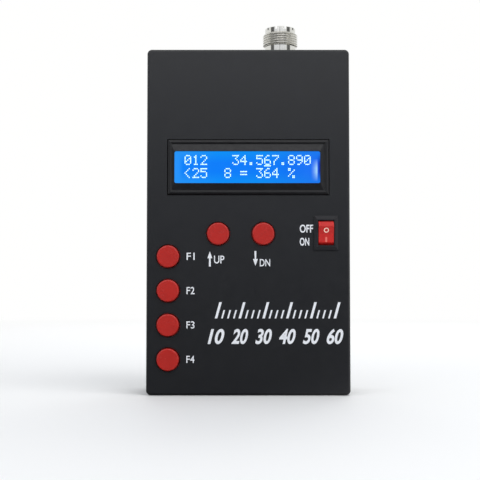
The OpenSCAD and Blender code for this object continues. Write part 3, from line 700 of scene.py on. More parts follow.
@dataclass(frozen=True)
class BacklitFilm:
    """Blue display cell lit from its right-hand edge.

    Colour runs along X across the viewing area: pale at the far left, blue in the middle,
    deeper to the right and deep blue beyond the lamp. It is greener along the upper and lower
    edges, and a bright streak stands in front of the lamp.

    Attributes:
        left: X of the viewing area's left edge.
        right: X of its right edge.
        middle: Z of its middle line.
        glow: Strength of the light.
    """

    left: float
    right: float
    middle: float
    glow: float = 0.95

    def paint(self, name: str) -> bpy.types.Material:
        """Makes the material of the finish.

        Args:
            name: Name of the material.

        Returns:
            The material.
        """
        recipe = Recipe(name)
        across, _, up = recipe.parts(recipe.place)
        along = recipe.between(across, 0.0, 1.0, (self.left, self.right))
        core = recipe.ramp(along, [
            (0.0, screen(40, 150, 255)),
            (0.03, screen(34, 148, 255)),
            (0.06, screen(3, 130, 252)),
            (0.4, screen(2, 126, 252)),
            (0.7, screen(5, 124, 250)),
            (0.8, screen(6, 116, 246)),
            (0.92, screen(24, 118, 248)),
            (0.978, screen(18, 100, 245)),
            (0.99, screen(8, 66, 205)),
            (1.0, screen(14, 48, 140))])
        brim = recipe.ramp(along, [
            (0.0, screen(36, 150, 250)), (0.3, screen(3, 144, 250)),
            (0.6, screen(4, 142, 246)), (0.95, screen(22, 122, 242))])
        away = recipe.math("ABSOLUTE", recipe.math("SUBTRACT", up, self.middle))
        lit = recipe.mixed(recipe.between(away, 0.0, 1.0, (2.0 * MM, 6.3 * MM)), core, brim)
        # The streak is rise * rise * fall along X, times a hill along Z.
        rise = recipe.between(along, 0.0, 1.0, (0.93, 0.974))
        fall = recipe.between(along, 1.0, 0.0, (0.977, 0.986))
        hill = recipe.peak(up, self.middle - 1.2 * MM, 0.9 * MM, 5.0 * MM)
        streak = recipe.math("MULTIPLY", recipe.math("MULTIPLY", rise, rise), fall)
        streak = recipe.math("MULTIPLY", streak, hill)
        recipe.fix(Base_Color=screen(4, 16, 50), IOR=1.5, Specular_IOR_Level=0.15,
                   Emission_Strength=self.glow)
        recipe.drive("Emission Color", recipe.mixed(streak, lit, screen(165, 215, 255)))
        recipe.drive("Roughness", recipe.between(recipe.noise(3 * MM), 0.12, 0.2))
        recipe.drive("Normal", recipe.emboss(recipe.noise(0.3 * MM), 0.001 * MM))
        return recipe.material


Finish = (MouldedPlastic | BareMetal | SatinPaint | CircuitBoard | Banded | ClearPlastic
          | Foam | Ink | BacklitFilm)


class FinishBook:
    """Every finish of the part by its slot, each painted once."""

    def __init__(self, display: BacklitFilm) -> None:
        """Lists the finishes.

        Args:
            display: Finish of the display cell, which depends on where the display is.
        """
        black = screen(30, 30, 32)
        self.finishes: dict[Slot, Finish] = {
            Slot.CASE: MouldedPlastic(screen(25, 26, 29), 0.35, 0.07, 0.16 * MM, 0.006 * MM),
            Slot.BLACK_STEEL: BareMetal(screen(70, 70, 74), 0.35, (1.0, 1.0, 1.0)),
            Slot.BEZEL: SatinPaint(screen(20, 20, 23)),
            Slot.DISPLAY: display,
            Slot.CLEAR: ClearPlastic(screen(235, 240, 245)),
            Slot.LED: ClearPlastic(screen(240, 225, 120), 0.25, 0.3),
            Slot.PINK_RUBBER: Banded(screen(205, 110, 130), screen(60, 50, 55), 0.2 * MM),
            Slot.BOARD: CircuitBoard(screen(20, 84, 38), screen(44, 118, 58)),
            Slot.CHIP: MouldedPlastic(screen(34, 34, 36), 0.5, 0.1, 0.1 * MM, 0.01 * MM),
            Slot.HEADER: MouldedPlastic(black, 0.4),
            Slot.WHITE_NYLON: MouldedPlastic(screen(225, 224, 216), 0.4),
            Slot.NICKEL: BareMetal(screen(205, 203, 198), 0.2),
            Slot.SWITCH: MouldedPlastic(black, 0.42),
            Slot.STEM: MouldedPlastic(screen(222, 220, 210), 0.4),
            Slot.RED_BUTTON: MouldedPlastic(screen(176, 33, 26), 0.26, 0.05, 0.25 * MM, 0.003 * MM),
            Slot.HOUSING: MouldedPlastic(screen(39, 39, 42), 0.42, 0.08, 0.3 * MM, 0.003 * MM, mirror=0.2),
            Slot.RED_ROCKER: MouldedPlastic(
                screen(192, 34, 30), 0.34, 0.05, 0.4 * MM, 0.002 * MM, mirror=0.4),
            Slot.BRASS: BareMetal(screen(214, 186, 120), 0.22),
            Slot.RED_WIRE: MouldedPlastic(screen(190, 30, 30), 0.4),
            Slot.BLACK_WIRE: MouldedPlastic(black, 0.4),
            Slot.SOCKET_METAL: BareMetal(screen(222, 220, 214), 0.1, (0.3, 0.3, 10.0), 0.0005 * MM, 0.03),
            Slot.DIELECTRIC: ClearPlastic(screen(235, 230, 215), 0.45, 0.15),
            Slot.TINNED_WIRE: BareMetal(screen(200, 198, 190), 0.3),
            Slot.HOLDER: MouldedPlastic(black, 0.5),
            Slot.CELL_SLEEVE: MouldedPlastic(screen(60, 110, 70), 0.3, 0.05, 0.5 * MM, 0.001 * MM, 0.5),
            Slot.FOAM: Foam(screen(225, 225, 220)),
            # Coil turns: bright copper on each raised crest is a painted highlight, and dark copper between
            # turns is painted shade.
            Slot.COPPER: Banded(screen(120, 50, 20), screen(214, 120, 66), 0.5 * MM, 1.0),
            Slot.RESISTOR: Banded(screen(70, 130, 175), screen(120, 50, 30), 1.1 * MM),
            Slot.CAPACITOR: MouldedPlastic(screen(30, 50, 120), 0.3, 0.05, 0.5 * MM, 0.001 * MM, 0.4),
            Slot.TRIMMER: MouldedPlastic(screen(30, 80, 160), 0.35),
        }
        self.materials = {slot: finish.paint(f"{slot.value}_finish")
                          for slot, finish in self.finishes.items()}

    def dress_frame(self, frame: dict) -> None:
        """Puts the finishes on the frame's own nodes, by the slot that each one names.
        """
        for name, node in frame["nodes"].items():
            for index, material in enumerate(node.data.materials):
                slot = Slot(material.name.split(".")[0])
                node.data.materials[index] = self.materials[slot]
            LOG.info("%s takes %s", name, slot.value)


# ---------------------------------------------------------------- meshes


def lattice_faces(rows: int, columns: int, closed: bool) -> np.ndarray:
    """Four-cornered faces of a grid of points, counted row by row.

    Face (r, c) joins point (r, c) to (r, c + 1), (r + 1, c + 1) and (r + 1, c).

    Args:
        rows: Number of rows of points.
        columns: Number of points in a row.
        closed: Whether the last column joins the first.

    Returns:
        An array of four point numbers a face.
    """
    row = np.arange(rows - 1)[:, None]
    column = np.arange(columns if closed else columns - 1)[None, :]
    after = (column + 1) % columns
    corners = (row * columns + column, row * columns + after,
               (row + 1) * columns + after, (row + 1) * columns + column)
    return np.stack(np.broadcast_arrays(*corners), axis=-1).reshape(-1, 4)


def mesh_piece(name: str, points: np.ndarray, faces: Sequence[Sequence[int]],
               crease: float = 40.0) -> bpy.types.Object:
    """A linked object from points and faces, smooth except over sharp edges.

    Args:
        name: Name of the piece.
        points: Places in the frame, one row each.
        faces: Point numbers of each face, outward side anticlockwise.
        crease: Angle in degrees past which an edge stays sharp.

    Returns:
        The object, at the origin.
    """
    mesh = bpy.data.meshes.new(name)
    mesh.from_pydata(np.asarray(points, float).reshape(-1, 3).tolist(), [], [list(f) for f in faces])
    tidy = bmesh.new()
    tidy.from_mesh(mesh)
    bmesh.ops.remove_doubles(tidy, verts=tidy.verts, dist=WELD)
    bmesh.ops.dissolve_degenerate(tidy, edges=tidy.edges, dist=WELD)
    tidy.to_mesh(mesh)
    tidy.free()
    mesh.shade_smooth()
    mesh.set_sharp_from_angle(angle=math.radians(crease))
    piece = bpy.data.objects.new(name, mesh)
    bpy.context.scene.collection.objects.link(piece)
    return piece


def slabs(outlines: Sequence[np.ndarray], thickness: float) -> tuple[np.ndarray, list[list[int]]]:
    """Flat convex outlines in X and Z given a thickness from Y = 0 towards -Y.

    Each outline of n points becomes a front face, n walls and a back face.

    Args:
        outlines: Outlines as n by 2 arrays, anticlockwise as seen from -Y.
        thickness: How far the front face stands out.

    Returns:
        The points and the faces.
    """
    points: list[np.ndarray] = []
    faces: list[list[int]] = []
    first = 0
    for outline in outlines:
        count = len(outline)
        depth = np.repeat([-thickness, 0.0], count)
        flat = np.tile(outline, (2, 1))
        points.append(np.stack([flat[:, 0], depth, flat[:, 1]], axis=1))
        ring = np.arange(first, first + count)
        after = np.roll(ring, -1)
        faces += [ring.tolist(), (ring[::-1] + count).tolist()]
        faces += np.stack([after, ring, ring + count, after + count], axis=1).tolist()
        first += 2 * count
    return np.concatenate(points), faces


def merged_copy(node: bpy.types.Object, name: str) -> bpy.types.Object:
    """A copy of a frame node with its loose triangles joined up.

    Args:
        node: The node.
        name: Name of the copy.

    Returns:
        The copy, linked to the scene.
    """
    mesh = node.data.copy()
    mesh.name = name
    tidy = bmesh.new()
    tidy.from_mesh(mesh)
    bmesh.ops.remove_doubles(tidy, verts=tidy.verts, dist=WELD)
    tidy.to_mesh(mesh)
    tidy.free()
    piece = bpy.data.objects.new(name, mesh)
    bpy.context.scene.collection.objects.link(piece)
    return piece


def keep_flats(mesh: bpy.types.Mesh, reach: float = 35.0) -> None:
    """Turns the shading of rounded edges into the flat walls beside them.

    A corner of a face that looks along an axis takes that axis as its normal. A corner of any
    other face takes it too where such a wall meets it at less than the reach. All other
    corners keep their smooth normal.

    Args:
        mesh: The mesh, shaded smooth.
        reach: Largest angle in degrees between a wall and the edge that runs into it.
    """
    count = len(mesh.loops)
    corner = np.empty(count * 3, np.float32)
    mesh.corner_normals.foreach_get("vector", corner)
    corner = corner.reshape(-1, 3)
    vertex = np.empty(count, np.int32)
    mesh.loops.foreach_get("vertex_index", vertex)
    face = np.empty(len(mesh.polygons) * 3, np.float32)
    mesh.polygons.foreach_get("normal", face)
    sizes = np.empty(len(mesh.polygons), np.int32)
    mesh.polygons.foreach_get("loop_total", sizes)
    facing = np.repeat(face.reshape(-1, 3), sizes, axis=0)
    axes = np.concatenate([np.eye(3), -np.eye(3)])
    likeness = facing @ axes.T
    straight = 0.99999
    flat = likeness > straight
    beside = np.zeros((len(mesh.vertices), len(axes)), bool)
    np.logical_or.at(beside, vertex, flat)
    likeness = np.where(beside[vertex], likeness, -1.0)
    best = likeness.argmax(1)
    taken = likeness.max(1) > math.cos(math.radians(reach))
    normals = np.where(taken[:, None], axes[best], corner)
    mesh.normals_split_custom_set(normals.tolist())


def text_outline(body: str, weight: float, slant: float) -> bpy.types.Mesh:
    """Flat letters in the built-in typeface, 1 high, with a thickness of 1.

    Args:
        body: What they say.
        weight: How much the strokes are fattened.
        slant: Lean of the letters.

    Returns:
        The mesh, in the text's own X and Y, its front at Z = 1.
    """
    curve = bpy.data.curves.new("letters", "FONT")
    curve.body = body
    curve.size = 1.0
    curve.offset = weight
    curve.shear = slant
    curve.extrude = 0.5
    curve.resolution_u = 6
    holder = bpy.data.objects.new("letters", curve)
    bpy.context.scene.collection.objects.link(holder)
    shown = holder.evaluated_get(bpy.context.evaluated_depsgraph_get())
    mesh = bpy.data.meshes.new_from_object(shown)
    bpy.data.objects.remove(holder)
    return mesh


# ---------------------------------------------------------------- the case and its print


@dataclass
class Case:
    """The two moulded case halves.

    Attributes:
        book: Finishes.
        front: Name of the front half's node.
        rear: Name of the rear half's node.
    """

    book: FinishBook
    front: str = "front_shell"
    rear: str = "rear_cover"

    def build(self, frame: dict) -> None:
        """Makes smooth copies of both halves, whose rounded edges are cut in flats in the frame.
        """
        for node, name in ((self.front, "front_case_half"), (self.rear, "rear_case_half")):
            piece = merged_copy(frame["nodes"][node], name)
            piece.data.shade_smooth()
            piece.data.set_sharp_from_angle(angle=math.radians(35))
            keep_flats(piece.data)
            piece.data.materials.clear()
            piece.data.materials.append(self.book.materials[Slot.CASE])
            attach(piece, "case")
            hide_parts(node)
            LOG.info("smoothed %s", piece.name)


@dataclass
class Legends:
    """White print on the front: marks beside the keys, OFF and ON, and a numbered scale.

    Attributes:
        ink: Material of the print.
        front: Y of the face that carries the print.
        row: Height of the upper row of buttons.
        column: Heights of the side buttons, from the top.
        cap: Height of the letters beside the side buttons.
        film: Thickness of the ink.
    """

    ink: bpy.types.Material
    front: float
    row: float
    column: tuple[float, ...]
    cap: float = 3.15 * MM
    film: float = 0.03 * MM

    def letters(self, name: str, body: str, left: float, right: float, low: float, high: float,
                weight: float = 0.008, slant: float = 0.0) -> None:
        """Prints letters into a box on the front.

        The text's own box is stretched to the given one, and its thickness to the film's.

        Args:
            name: Name of the piece.
            body: What they say.
            left: X of the box's left side.
            right: X of its right side.
            low: Z of its lower side.
            high: Z of its upper side.
            weight: How much the strokes are fattened.
            slant: Lean of the letters.
        """
        mesh = text_outline(body, weight, slant)
        flat = np.empty(len(mesh.vertices) * 3, np.float32)
        mesh.vertices.foreach_get("co", flat)
        flat = flat.reshape(-1, 3)
        lowest, highest = flat.min(0), flat.max(0)
        share = (flat - lowest) / (highest - lowest)
        placed = np.stack([left + share[:, 0] * (right - left),
                           self.front - share[:, 2] * self.film,
                           low + share[:, 1] * (high - low)], axis=1)
        mesh.vertices.foreach_set("co", placed.astype(np.float32).ravel())
        mesh.update()
        piece = bpy.data.objects.new(name, mesh)
        bpy.context.scene.collection.objects.link(piece)
        self.print_on_case(piece)

    def print_on_case(self, piece: bpy.types.Object) -> None:
        """Inks a piece and lets it ride on the case.

        Args:
            piece: The piece of print.
        """
        piece.data.materials.clear()
        piece.data.materials.append(self.ink)
        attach(piece, "case")
        LOG.info("printed %s", piece.name)

    def arrow(self, name: str, middle: float, tail: float, tip: float) -> None:
        """Prints a slim upright arrow.

        The barbs stand at tip + neck * (tail - tip), and the stem narrows to the taper there.

        Args:
            name: Name of the piece.
            middle: X of the arrow.
            tail: Z of its tail.
            tip: Z of its tip.
        """
        half, stem = 1.05 * MM, 0.42 * MM
        neck, taper = 0.46, 0.8
        barb = tip + (tail - tip) * neck
        up = 1.0 if tip > tail else -1.0
        head = np.array([[middle - half, barb], [middle + half, barb], [middle, tip]])
        shaft = np.array([[middle - stem, tail], [middle + stem, tail],
                          [middle + stem * taper, barb], [middle - stem * taper, barb]])
        outlines = [outline if up > 0 else outline[::-1] for outline in (head, shaft)]
        points, faces = slabs(outlines, self.film)
        points[:, 1] += self.front
        self.print_on_case(mesh_piece(name, points, faces))

    def scale(self) -> None:
        """Prints a plain slanted scale: a row of ticks with numbers under it.

        Tick i stands at equal steps along X and leans with the numbers. Every fourth is long
        and has a number.
        """
        left, right = -14.0 * MM, 37.5 * MM
        foot, short, tall = 33.1 * MM, 3.6 * MM, 7.0 * MM
        thin, thick = 0.35 * MM, 0.55 * MM
        lean, bold = 0.28, 0.028
        number_low, number_high, number_half = 22.0 * MM, 28.6 * MM, 3.6 * MM
        count, every = 21, 4
        places = [left + (right - left) * i / (count - 1) for i in range(count)]
        outlines = []
        for i, x in enumerate(places):
            high, half = (tall, thick) if i % every == 0 else (short, thin)
            outlines.append(np.array([[x - half, foot], [x + half, foot],
                                      [x + half + lean * high, foot + high],
                                      [x - half + lean * high, foot + high]]))
        points, faces = slabs(outlines, self.film)
        points[:, 1] += self.front
        self.print_on_case(mesh_piece("scale_ticks", points, faces))
        for number, middle in enumerate(places[::every]):
            self.letters(f"scale_number_{number}", str(10 * (number + 1)),
                         middle - number_half, middle + number_half, number_low, number_high,
                         weight=bold, slant=lean)

    def build(self) -> None:
        """Makes the whole print."""
        lift, bold = 0.05 * MM, 0.02
        for number, height in enumerate(self.column, start=1):
            self.letters(f"legend_key_{number}", f"F{number}", left=-26.8 * MM, right=-23.3 * MM,
                         low=height + lift - self.cap / 2, high=height + lift + self.cap / 2)
        self.arrow("legend_up_arrow", middle=-16.7 * MM,
                   tail=self.row - 14.2 * MM, tip=self.row - 7.6 * MM)
        self.arrow("legend_down_arrow", middle=3.1 * MM,
                   tail=self.row - 7.5 * MM, tip=self.row - 13.9 * MM)
        self.letters("legend_up", "UP", left=-14.9 * MM, right=-10.4 * MM,
                     low=self.row - 12.9 * MM, high=self.row - 9.5 * MM)
        self.letters("legend_down", "DN", left=5.0 * MM, right=9.5 * MM,
                     low=self.row - 14.1 * MM, high=self.row - 11.0 * MM)
        self.letters("legend_off", "OFF", left=22.4 * MM, right=28.2 * MM,
                     low=self.row + 0.5 * MM, high=self.row + 4.0 * MM, weight=bold)
        self.letters("legend_on", "ON", left=22.4 * MM, right=26.5 * MM,
                     low=self.row - 5.15 * MM, high=self.row - 1.7 * MM, weight=bold)
        self.scale()


# ---------------------------------------------------------------- the display


GLYPHS: dict[str, tuple[str, ...]] = {
    "0": (".###.", "#...#", "#..##", "#.#.#", "##..#", "#...#", ".###."),
    "1": ("..#..", ".##..", "..#..", "..#..", "..#..", "..#..", ".###."),
    "2": (".###.", "#...#", "....#", "...#.", "..#..", ".#...", "#####"),
    "3": ("#####", "...#.", "..#..", "...#.", "....#", "#...#", ".###."),
    "4": ("...#.", "..##.", ".#.#.", "#..#.", "#####", "...#.", "...#."),
    "5": ("#####", "#....", "####.", "....#", "....#", "#...#", ".###."),
    "6": ("..##.", ".#...", "#....", "####.", "#...#", "#...#", ".###."),
    "7": ("#####", "....#", "...#.", "..#..", ".#...", ".#...", ".#..."),
    "8": (".###.", "#...#", "#...#", ".###.", "#...#", "#...#", ".###."),
    "9": (".###.", "#...#", "#...#", ".####", "....#", "...#.", ".##.."),
    ".": (".....", ".....", ".....", ".....", ".....", ".##..", ".##.."),
    "=": (".....", ".....", "#####", ".....", "#####", ".....", "....."),
    "<": ("...#.", "..#..", ".#...", "#....", ".#...", "..#..", "...#."),
    "%": ("##...", "##..#", "...#.", "..#..", ".#...", "#..##", "...##"),
}


@dataclass
class Display:
    """The lit two-line display: its characters of square dots stand on the glass.

    Attributes:
        glass: Y of the glass's front face.
        middle: Z of the middle between the two lines.
        dots: Material of the lit dots.
        left: X of the first column of dots.
        pitch: Distance between characters.
        lines: Distance between the two lines.
        step: Distance between dots along X and Z.
        dot: Width and height of a dot.
        dot_rows: Rows of dots in a character, without the underline.
        film: Thickness of a dot.
        rows: What the two lines say.
        cursor: Column of the underline in the first line.
    """

    glass: float
    middle: float
    dots: bpy.types.Material
    left: float = -27.8 * MM
    pitch: float = 3.48 * MM
    lines: float = 5.72 * MM
    step: tuple[float, float] = (0.6 * MM, 0.635 * MM)
    dot: tuple[float, float] = (0.45 * MM, 0.48 * MM)
    dot_rows: int = 7
    film: float = 0.02 * MM
    rows: tuple[str, str] = ("012   34.567.890", "<25  8 = 364 %  ")
    cursor: int = 10

    def lit(self) -> np.ndarray:
        """Finds the lit dots.

        Returns:
            Their lower left corners, as n by 2 numbers in X and Z.
        """
        corners = []
        height = (self.dot_rows - 1) * self.step[1] + self.dot[1]
        for line, text in enumerate(self.rows):
            top = self.middle + self.lines / 2 + height / 2 - line * self.lines
            for column, sign in enumerate(text):
                picture = list(GLYPHS.get(sign, ()))
                if line == 0 and column == self.cursor:
                    picture.append("#####")
                marks = np.array([[mark == "#" for mark in row] for row in picture]).reshape(-1, 5)
                down, across = np.nonzero(marks)
                corners.append(np.stack([
                    self.left + column * self.pitch + across * self.step[0],
                    top - down * self.step[1] - self.dot[1]], axis=1))
        return np.concatenate(corners)

    def build(self) -> None:
        """Makes one thin slab a lit dot, all in one piece."""
        unit = np.array([[0, 0], [1, 0], [1, 1], [0, 1]]) * np.array(self.dot)
        points, faces = slabs([corner + unit for corner in self.lit()], self.film)
        points[:, 1] += self.glass
        piece = mesh_piece("display_characters", points, faces)
        piece.data.materials.append(self.dots)
        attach(piece, "case")
        LOG.info("display shows %s and %s", *self.rows)


# ---------------------------------------------------------------- the rocker switch


@dataclass
class RockerMarks:
    """The ring and the bar inlaid in the two faces of the rocker.

    Attributes:
        pivot: Middle of the rocker's pin.
        rest: Angle of the rocker at rest, its upper end out.
        ring: Material of the ring.
        bar: Material of the bar.
        ridge: Distance of the middle of the front from the pivot.
        slope: Angle by which each face rises from the middle to its end.
        ring_height: Distance of the ring's middle from the ridge.
        ring_radius: Radius of the ring's middle line.
        ring_bead: Half the width of the ring's line, and how far it stands out.
        bar_height: The same for the bar's middle, negative because it is below the ridge.
        bar_half: Half the width of the bar.
        bar_end: Half the length of its straight part.
        bar_film: How far the bar stands out.
    """

    pivot: Vector
    rest: float
    ring: bpy.types.Material
    bar: bpy.types.Material
    ridge: float = 3.4 * MM
    slope: float = math.radians(8)
    ring_height: float = 1.75 * MM
    ring_radius: float = 0.9 * MM
    ring_bead: tuple[float, float] = (0.21 * MM, 0.05 * MM)
    bar_height: float = -2.35 * MM
    bar_half: float = 0.4 * MM
    bar_end: float = 0.9 * MM
    bar_film: float = 0.04 * MM

    def seat(self, height: float) -> Matrix:
        """Place on the rocker's face: local X right, Y up along the face, Z out of it.

        Args:
            height: Distance from the ridge along the face, upwards or downwards.

        Returns:
            The matrix from the face to the frame.
        """
        lean = self.slope if height >= 0 else -self.slope
        out = Matrix.Translation(self.pivot)
        tilt = Matrix.Rotation(self.rest, 4, "X")
        stand = Matrix.Rotation(math.radians(90), 4, "X")
        face = Matrix.Translation((0.0, -self.ridge, 0.0)) @ Matrix.Rotation(lean, 4, "X")
        return out @ tilt @ face @ stand @ Matrix.Translation((0.0, height, 0.0))

    def place(self, piece: bpy.types.Object, height: float, ink: bpy.types.Material) -> None:
        """Seats a mark on the rocker and lets it ride there.

        Args:
            piece: The mark, lying on Z = 0 about the origin.
            height: Distance from the ridge along the face, upwards or downwards.
            ink: Material of the mark.
        """
        piece.data.transform(self.seat(height))
        piece.data.materials.append(ink)
        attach(piece, "rocker")
        LOG.info("inlaid %s", piece.name)

    def build(self) -> None:
        """Makes the ring for off and the bar for on.

        The ring's section is a low rounded bead, carried round a circle. The bar's outline is
        a rectangle with rounded ends, each half an ellipse that rises by a quarter of its width.
        """
        turn = np.linspace(0, 2 * np.pi, 48, endpoint=False)
        arc = np.linspace(0, np.pi, 9)
        width, rise = self.ring_bead
        radius = self.ring_radius + width * np.cos(arc)[:, None]
        height = rise * np.sin(arc)[:, None]
        ring = np.stack([radius * np.cos(turn), radius * np.sin(turn), height + 0 * turn], axis=-1)
        faces = lattice_faces(len(arc), len(turn), closed=True)
        self.place(mesh_piece("rocker_mark_off", ring, faces), self.ring_height, self.ring)
        cap = np.stack([self.bar_half * np.cos(arc),
                        self.bar_end + self.bar_half * 0.5 * np.sin(arc)], axis=1)
        points, faces = slabs([np.concatenate([cap, -cap])], self.bar_film)
        bar = mesh_piece("rocker_mark_on", points[:, [0, 2, 1]] * [1, 1, -1], faces)
        self.place(bar, self.bar_height, self.bar)


# ---------------------------------------------------------------- the antenna socket


@dataclass
class AntennaSocket:
    """The coaxial socket's barrel with its cut thread and notched rim.

    Heights are above the outside of the top wall.

    Attributes:
        book: Finishes.
        middle: X of the socket's axis.
        top: Z of the outside of the top wall.
        wall: Thickness of the top wall.
        bore: Radius of the bore.
        neck: Radius of the undercut below the thread.
        crest: Radius over the thread.
        rim: Radius of the rim above the thread.
        thread: Heights of the thread's two ends.
        rise: Height of the rim.
        pitch: Pitch of the thread, 24 turns an inch.
        depth: Depth of the thread.
        squeeze: Power that narrows the thread's groove.
        thread_rows: Rows of points in the threaded band.
        notches: Number of notches in the rim.
        notch: Width of a notch.
        notch_foot: Height of a notch's floor.
        columns: Columns of points in a notch and in the tooth beside it.
    """

    book: FinishBook
    middle: float
    top: float
    wall: float = 2.0 * MM
    bore: float = 6.2 * MM
    neck: float = 7.0 * MM
    crest: float = 7.9375 * MM
    rim: float = 6.9 * MM
    thread: tuple[float, float] = (5.35 * MM, 10.4 * MM)
    rise: float = 13.6 * MM
    pitch: float = 25.4 / 24 * MM
    depth: float = 0.65 * MM
    squeeze: float = 1.6
    thread_rows: int = 230
    notches: int = 10
    notch: float = 1.0 * MM
    notch_foot: float = 12.3 * MM
    columns: tuple[int, int] = (5, 15)

    def side(self) -> tuple[np.ndarray, np.ndarray, np.ndarray]:
        """The barrel's section, row by row.

        The outside runs from the wall's underside up through the undercut, the threaded band
        in fine steps and the plain rim with its broken edge. The bore runs back down.

        Returns:
            Radius and height of each row, and a flag for the rows of the outside.
        """
        low, high = self.thread
        under, floor = -self.wall, self.notch_foot
        over_floor = floor + 0.05 * MM
        bevel, bore_edge = 0.3 * MM, 0.15 * MM
        shoulder, run_out = 0.25 * MM, 0.7 * MM
        knots = ([under, low - shoulder, low, high, high + run_out, self.rise - bevel, self.rise],
                 [self.neck, self.neck, self.crest, self.crest, self.rim, self.rim, self.rim - bevel])
        below = [under, 0.0, low - 1.2 * MM]
        band = np.linspace(low - 0.6 * MM, high + 0.8 * MM, self.thread_rows)
        above = [floor, over_floor, self.rise - bevel, self.rise - bevel / 2, self.rise]
        outer = np.concatenate([below, band, above])
        inner = np.array([self.rise, self.rise - bore_edge, over_floor, floor, 6.0 * MM, under])
        bores = np.full(len(inner), self.bore)
        bores[0] += bore_edge
        radii = np.concatenate([np.interp(outer, *knots), bores])
        heights = np.concatenate([outer, inner])
        return radii, heights, np.arange(len(heights)) < len(outer)

    def angles(self, radii: np.ndarray) -> tuple[np.ndarray, np.ndarray]:
        """Finds the angle of each point of the grid and the columns that lie in a notch.

        A notch has parallel walls, so its half angle is asin(half width / radius). Its two
        walls are columns laid almost on each other.

        Args:
            radii: Radius of each row.

        Returns:
            Angles, rows by columns, and a flag for each column.
        """
        sector = 2 * np.pi / self.notches
        half = np.arcsin(self.notch / 2 / radii)[:, None]
        slit = 1e-4
        inside = np.linspace(-1.0, 1.0, self.columns[0])[None, :]
        tooth = np.linspace(0.0, 1.0, self.columns[1])[None, :]
        block = np.concatenate([inside * half, half + slit + tooth * (sector - 2 * half - 2 * slit)], axis=1)
        flags = np.array([True] * inside.size + [False] * tooth.size)
        starts = np.arange(self.notches) * sector
        grid = (starts[None, :, None] + block[:, None, :]).reshape(len(radii), -1)
        return grid, np.tile(flags, self.notches)

    def barrel(self) -> bpy.types.Object:
        """Makes the barrel as one grid.

        On the outside the radius is the smaller of the section's and crest - depth * wave. The
        wave is ((1 - cos(t)) / 2) ** squeeze, where t is one turn for each pitch of height, less
        the angle, so that the groove climbs one pitch a turn. In a notch every point above the
        notch's floor is brought down to it.

        Returns:
            The barrel.
        """
        radii, heights, outside = self.side()
        angle, notched = self.angles(radii)
        height = np.repeat(heights[:, None], angle.shape[1], axis=1)
        radius = np.repeat(radii[:, None], angle.shape[1], axis=1)
        wave = (0.5 - 0.5 * np.cos(2 * np.pi * height / self.pitch - angle)) ** self.squeeze
        cut = np.where(outside[:, None], self.crest - self.depth * wave, self.crest)
        radius = np.minimum(radius, cut)
        height = np.where(notched[None, :], np.minimum(height, self.notch_foot), height)
        points = np.stack([self.middle + radius * np.cos(angle), radius * np.sin(angle),
                           self.top + height], axis=-1)
        faces = lattice_faces(*angle.shape, closed=True)
        # A last ring of faces joins the foot of the bore to the foot of the outside.
        foot = lattice_faces(2, angle.shape[1], closed=True)
        last = (angle.shape[0] - 1) * angle.shape[1]
        foot = np.where(foot >= angle.shape[1], foot - angle.shape[1], foot + last)
        return mesh_piece("antenna_socket_barrel", points, [*faces.tolist(), *foot.tolist()], crease=30.0)

    def flange(self, node: bpy.types.Object) -> bpy.types.Object:
        """Cuts the square flange inside the case off the frame's own node, under the wall.

        Args:
            node: The frame's plain socket.

        Returns:
            The flange.
        """
        piece = merged_copy(node, "antenna_socket_flange")
        tidy = bmesh.new()
        tidy.from_mesh(piece.data)
        level = self.top - self.wall
        cut = bmesh.ops.bisect_plane(
            tidy, geom=[*tidy.verts, *tidy.edges, *tidy.faces], dist=WELD,
            plane_co=(0, 0, level), plane_no=(0, 0, 1), clear_outer=True)
        rims = [e for e in cut["geom_cut"] if isinstance(e, bmesh.types.BMEdge) and e.is_boundary]
        bmesh.ops.triangle_fill(tidy, edges=rims, use_beauty=True)
        tidy.to_mesh(piece.data)
        tidy.free()
        return piece

    def build(self, frame: dict) -> None:
        """Makes the barrel and the flange in place of the frame's plain socket.
        """
        node = "antenna_socket_shell"
        barrel = self.barrel()
        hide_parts(node)
        for piece in (barrel, self.flange(frame["nodes"][node])):
            piece.data.materials.clear()
            piece.data.materials.append(self.book.materials[Slot.SOCKET_METAL])
            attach(piece, "case")
            LOG.info("turned %s, %d faces", piece.name, len(piece.data.polygons))


# ---------------------------------------------------------------- studio


@dataclass(frozen=True)
class SoftLamp:
    """A soft light that looks at the middle of the part.

    Attributes:
        name: Name of the lamp.
        place: Where it hangs.
        size: Width and height of its face.
        power: Watts.
        mirrored: Whether gloss shows it. Otherwise gloss shows the room in its place.
    """

    name: str
    place: Point
    size: tuple[float, float]
    power: float
    mirrored: bool = False

    def hang(self, target: Vector) -> None:
        """Makes the lamp and turns it to the target.

        Args:
            target: The point that it looks at.
        """
        lamp = bpy.data.lights.new(self.name, "AREA")
        lamp.shape = "RECTANGLE"
        lamp.size, lamp.size_y = self.size
        lamp.energy = self.power
        holder = bpy.data.objects.new(self.name, lamp)
        holder.location = self.place
        holder.visible_glossy = self.mirrored
        holder.visible_camera = False
        holder.rotation_euler = (target - Vector(self.place)).to_track_quat("-Z", "Y").to_euler()
        bpy.context.scene.collection.objects.link(holder)


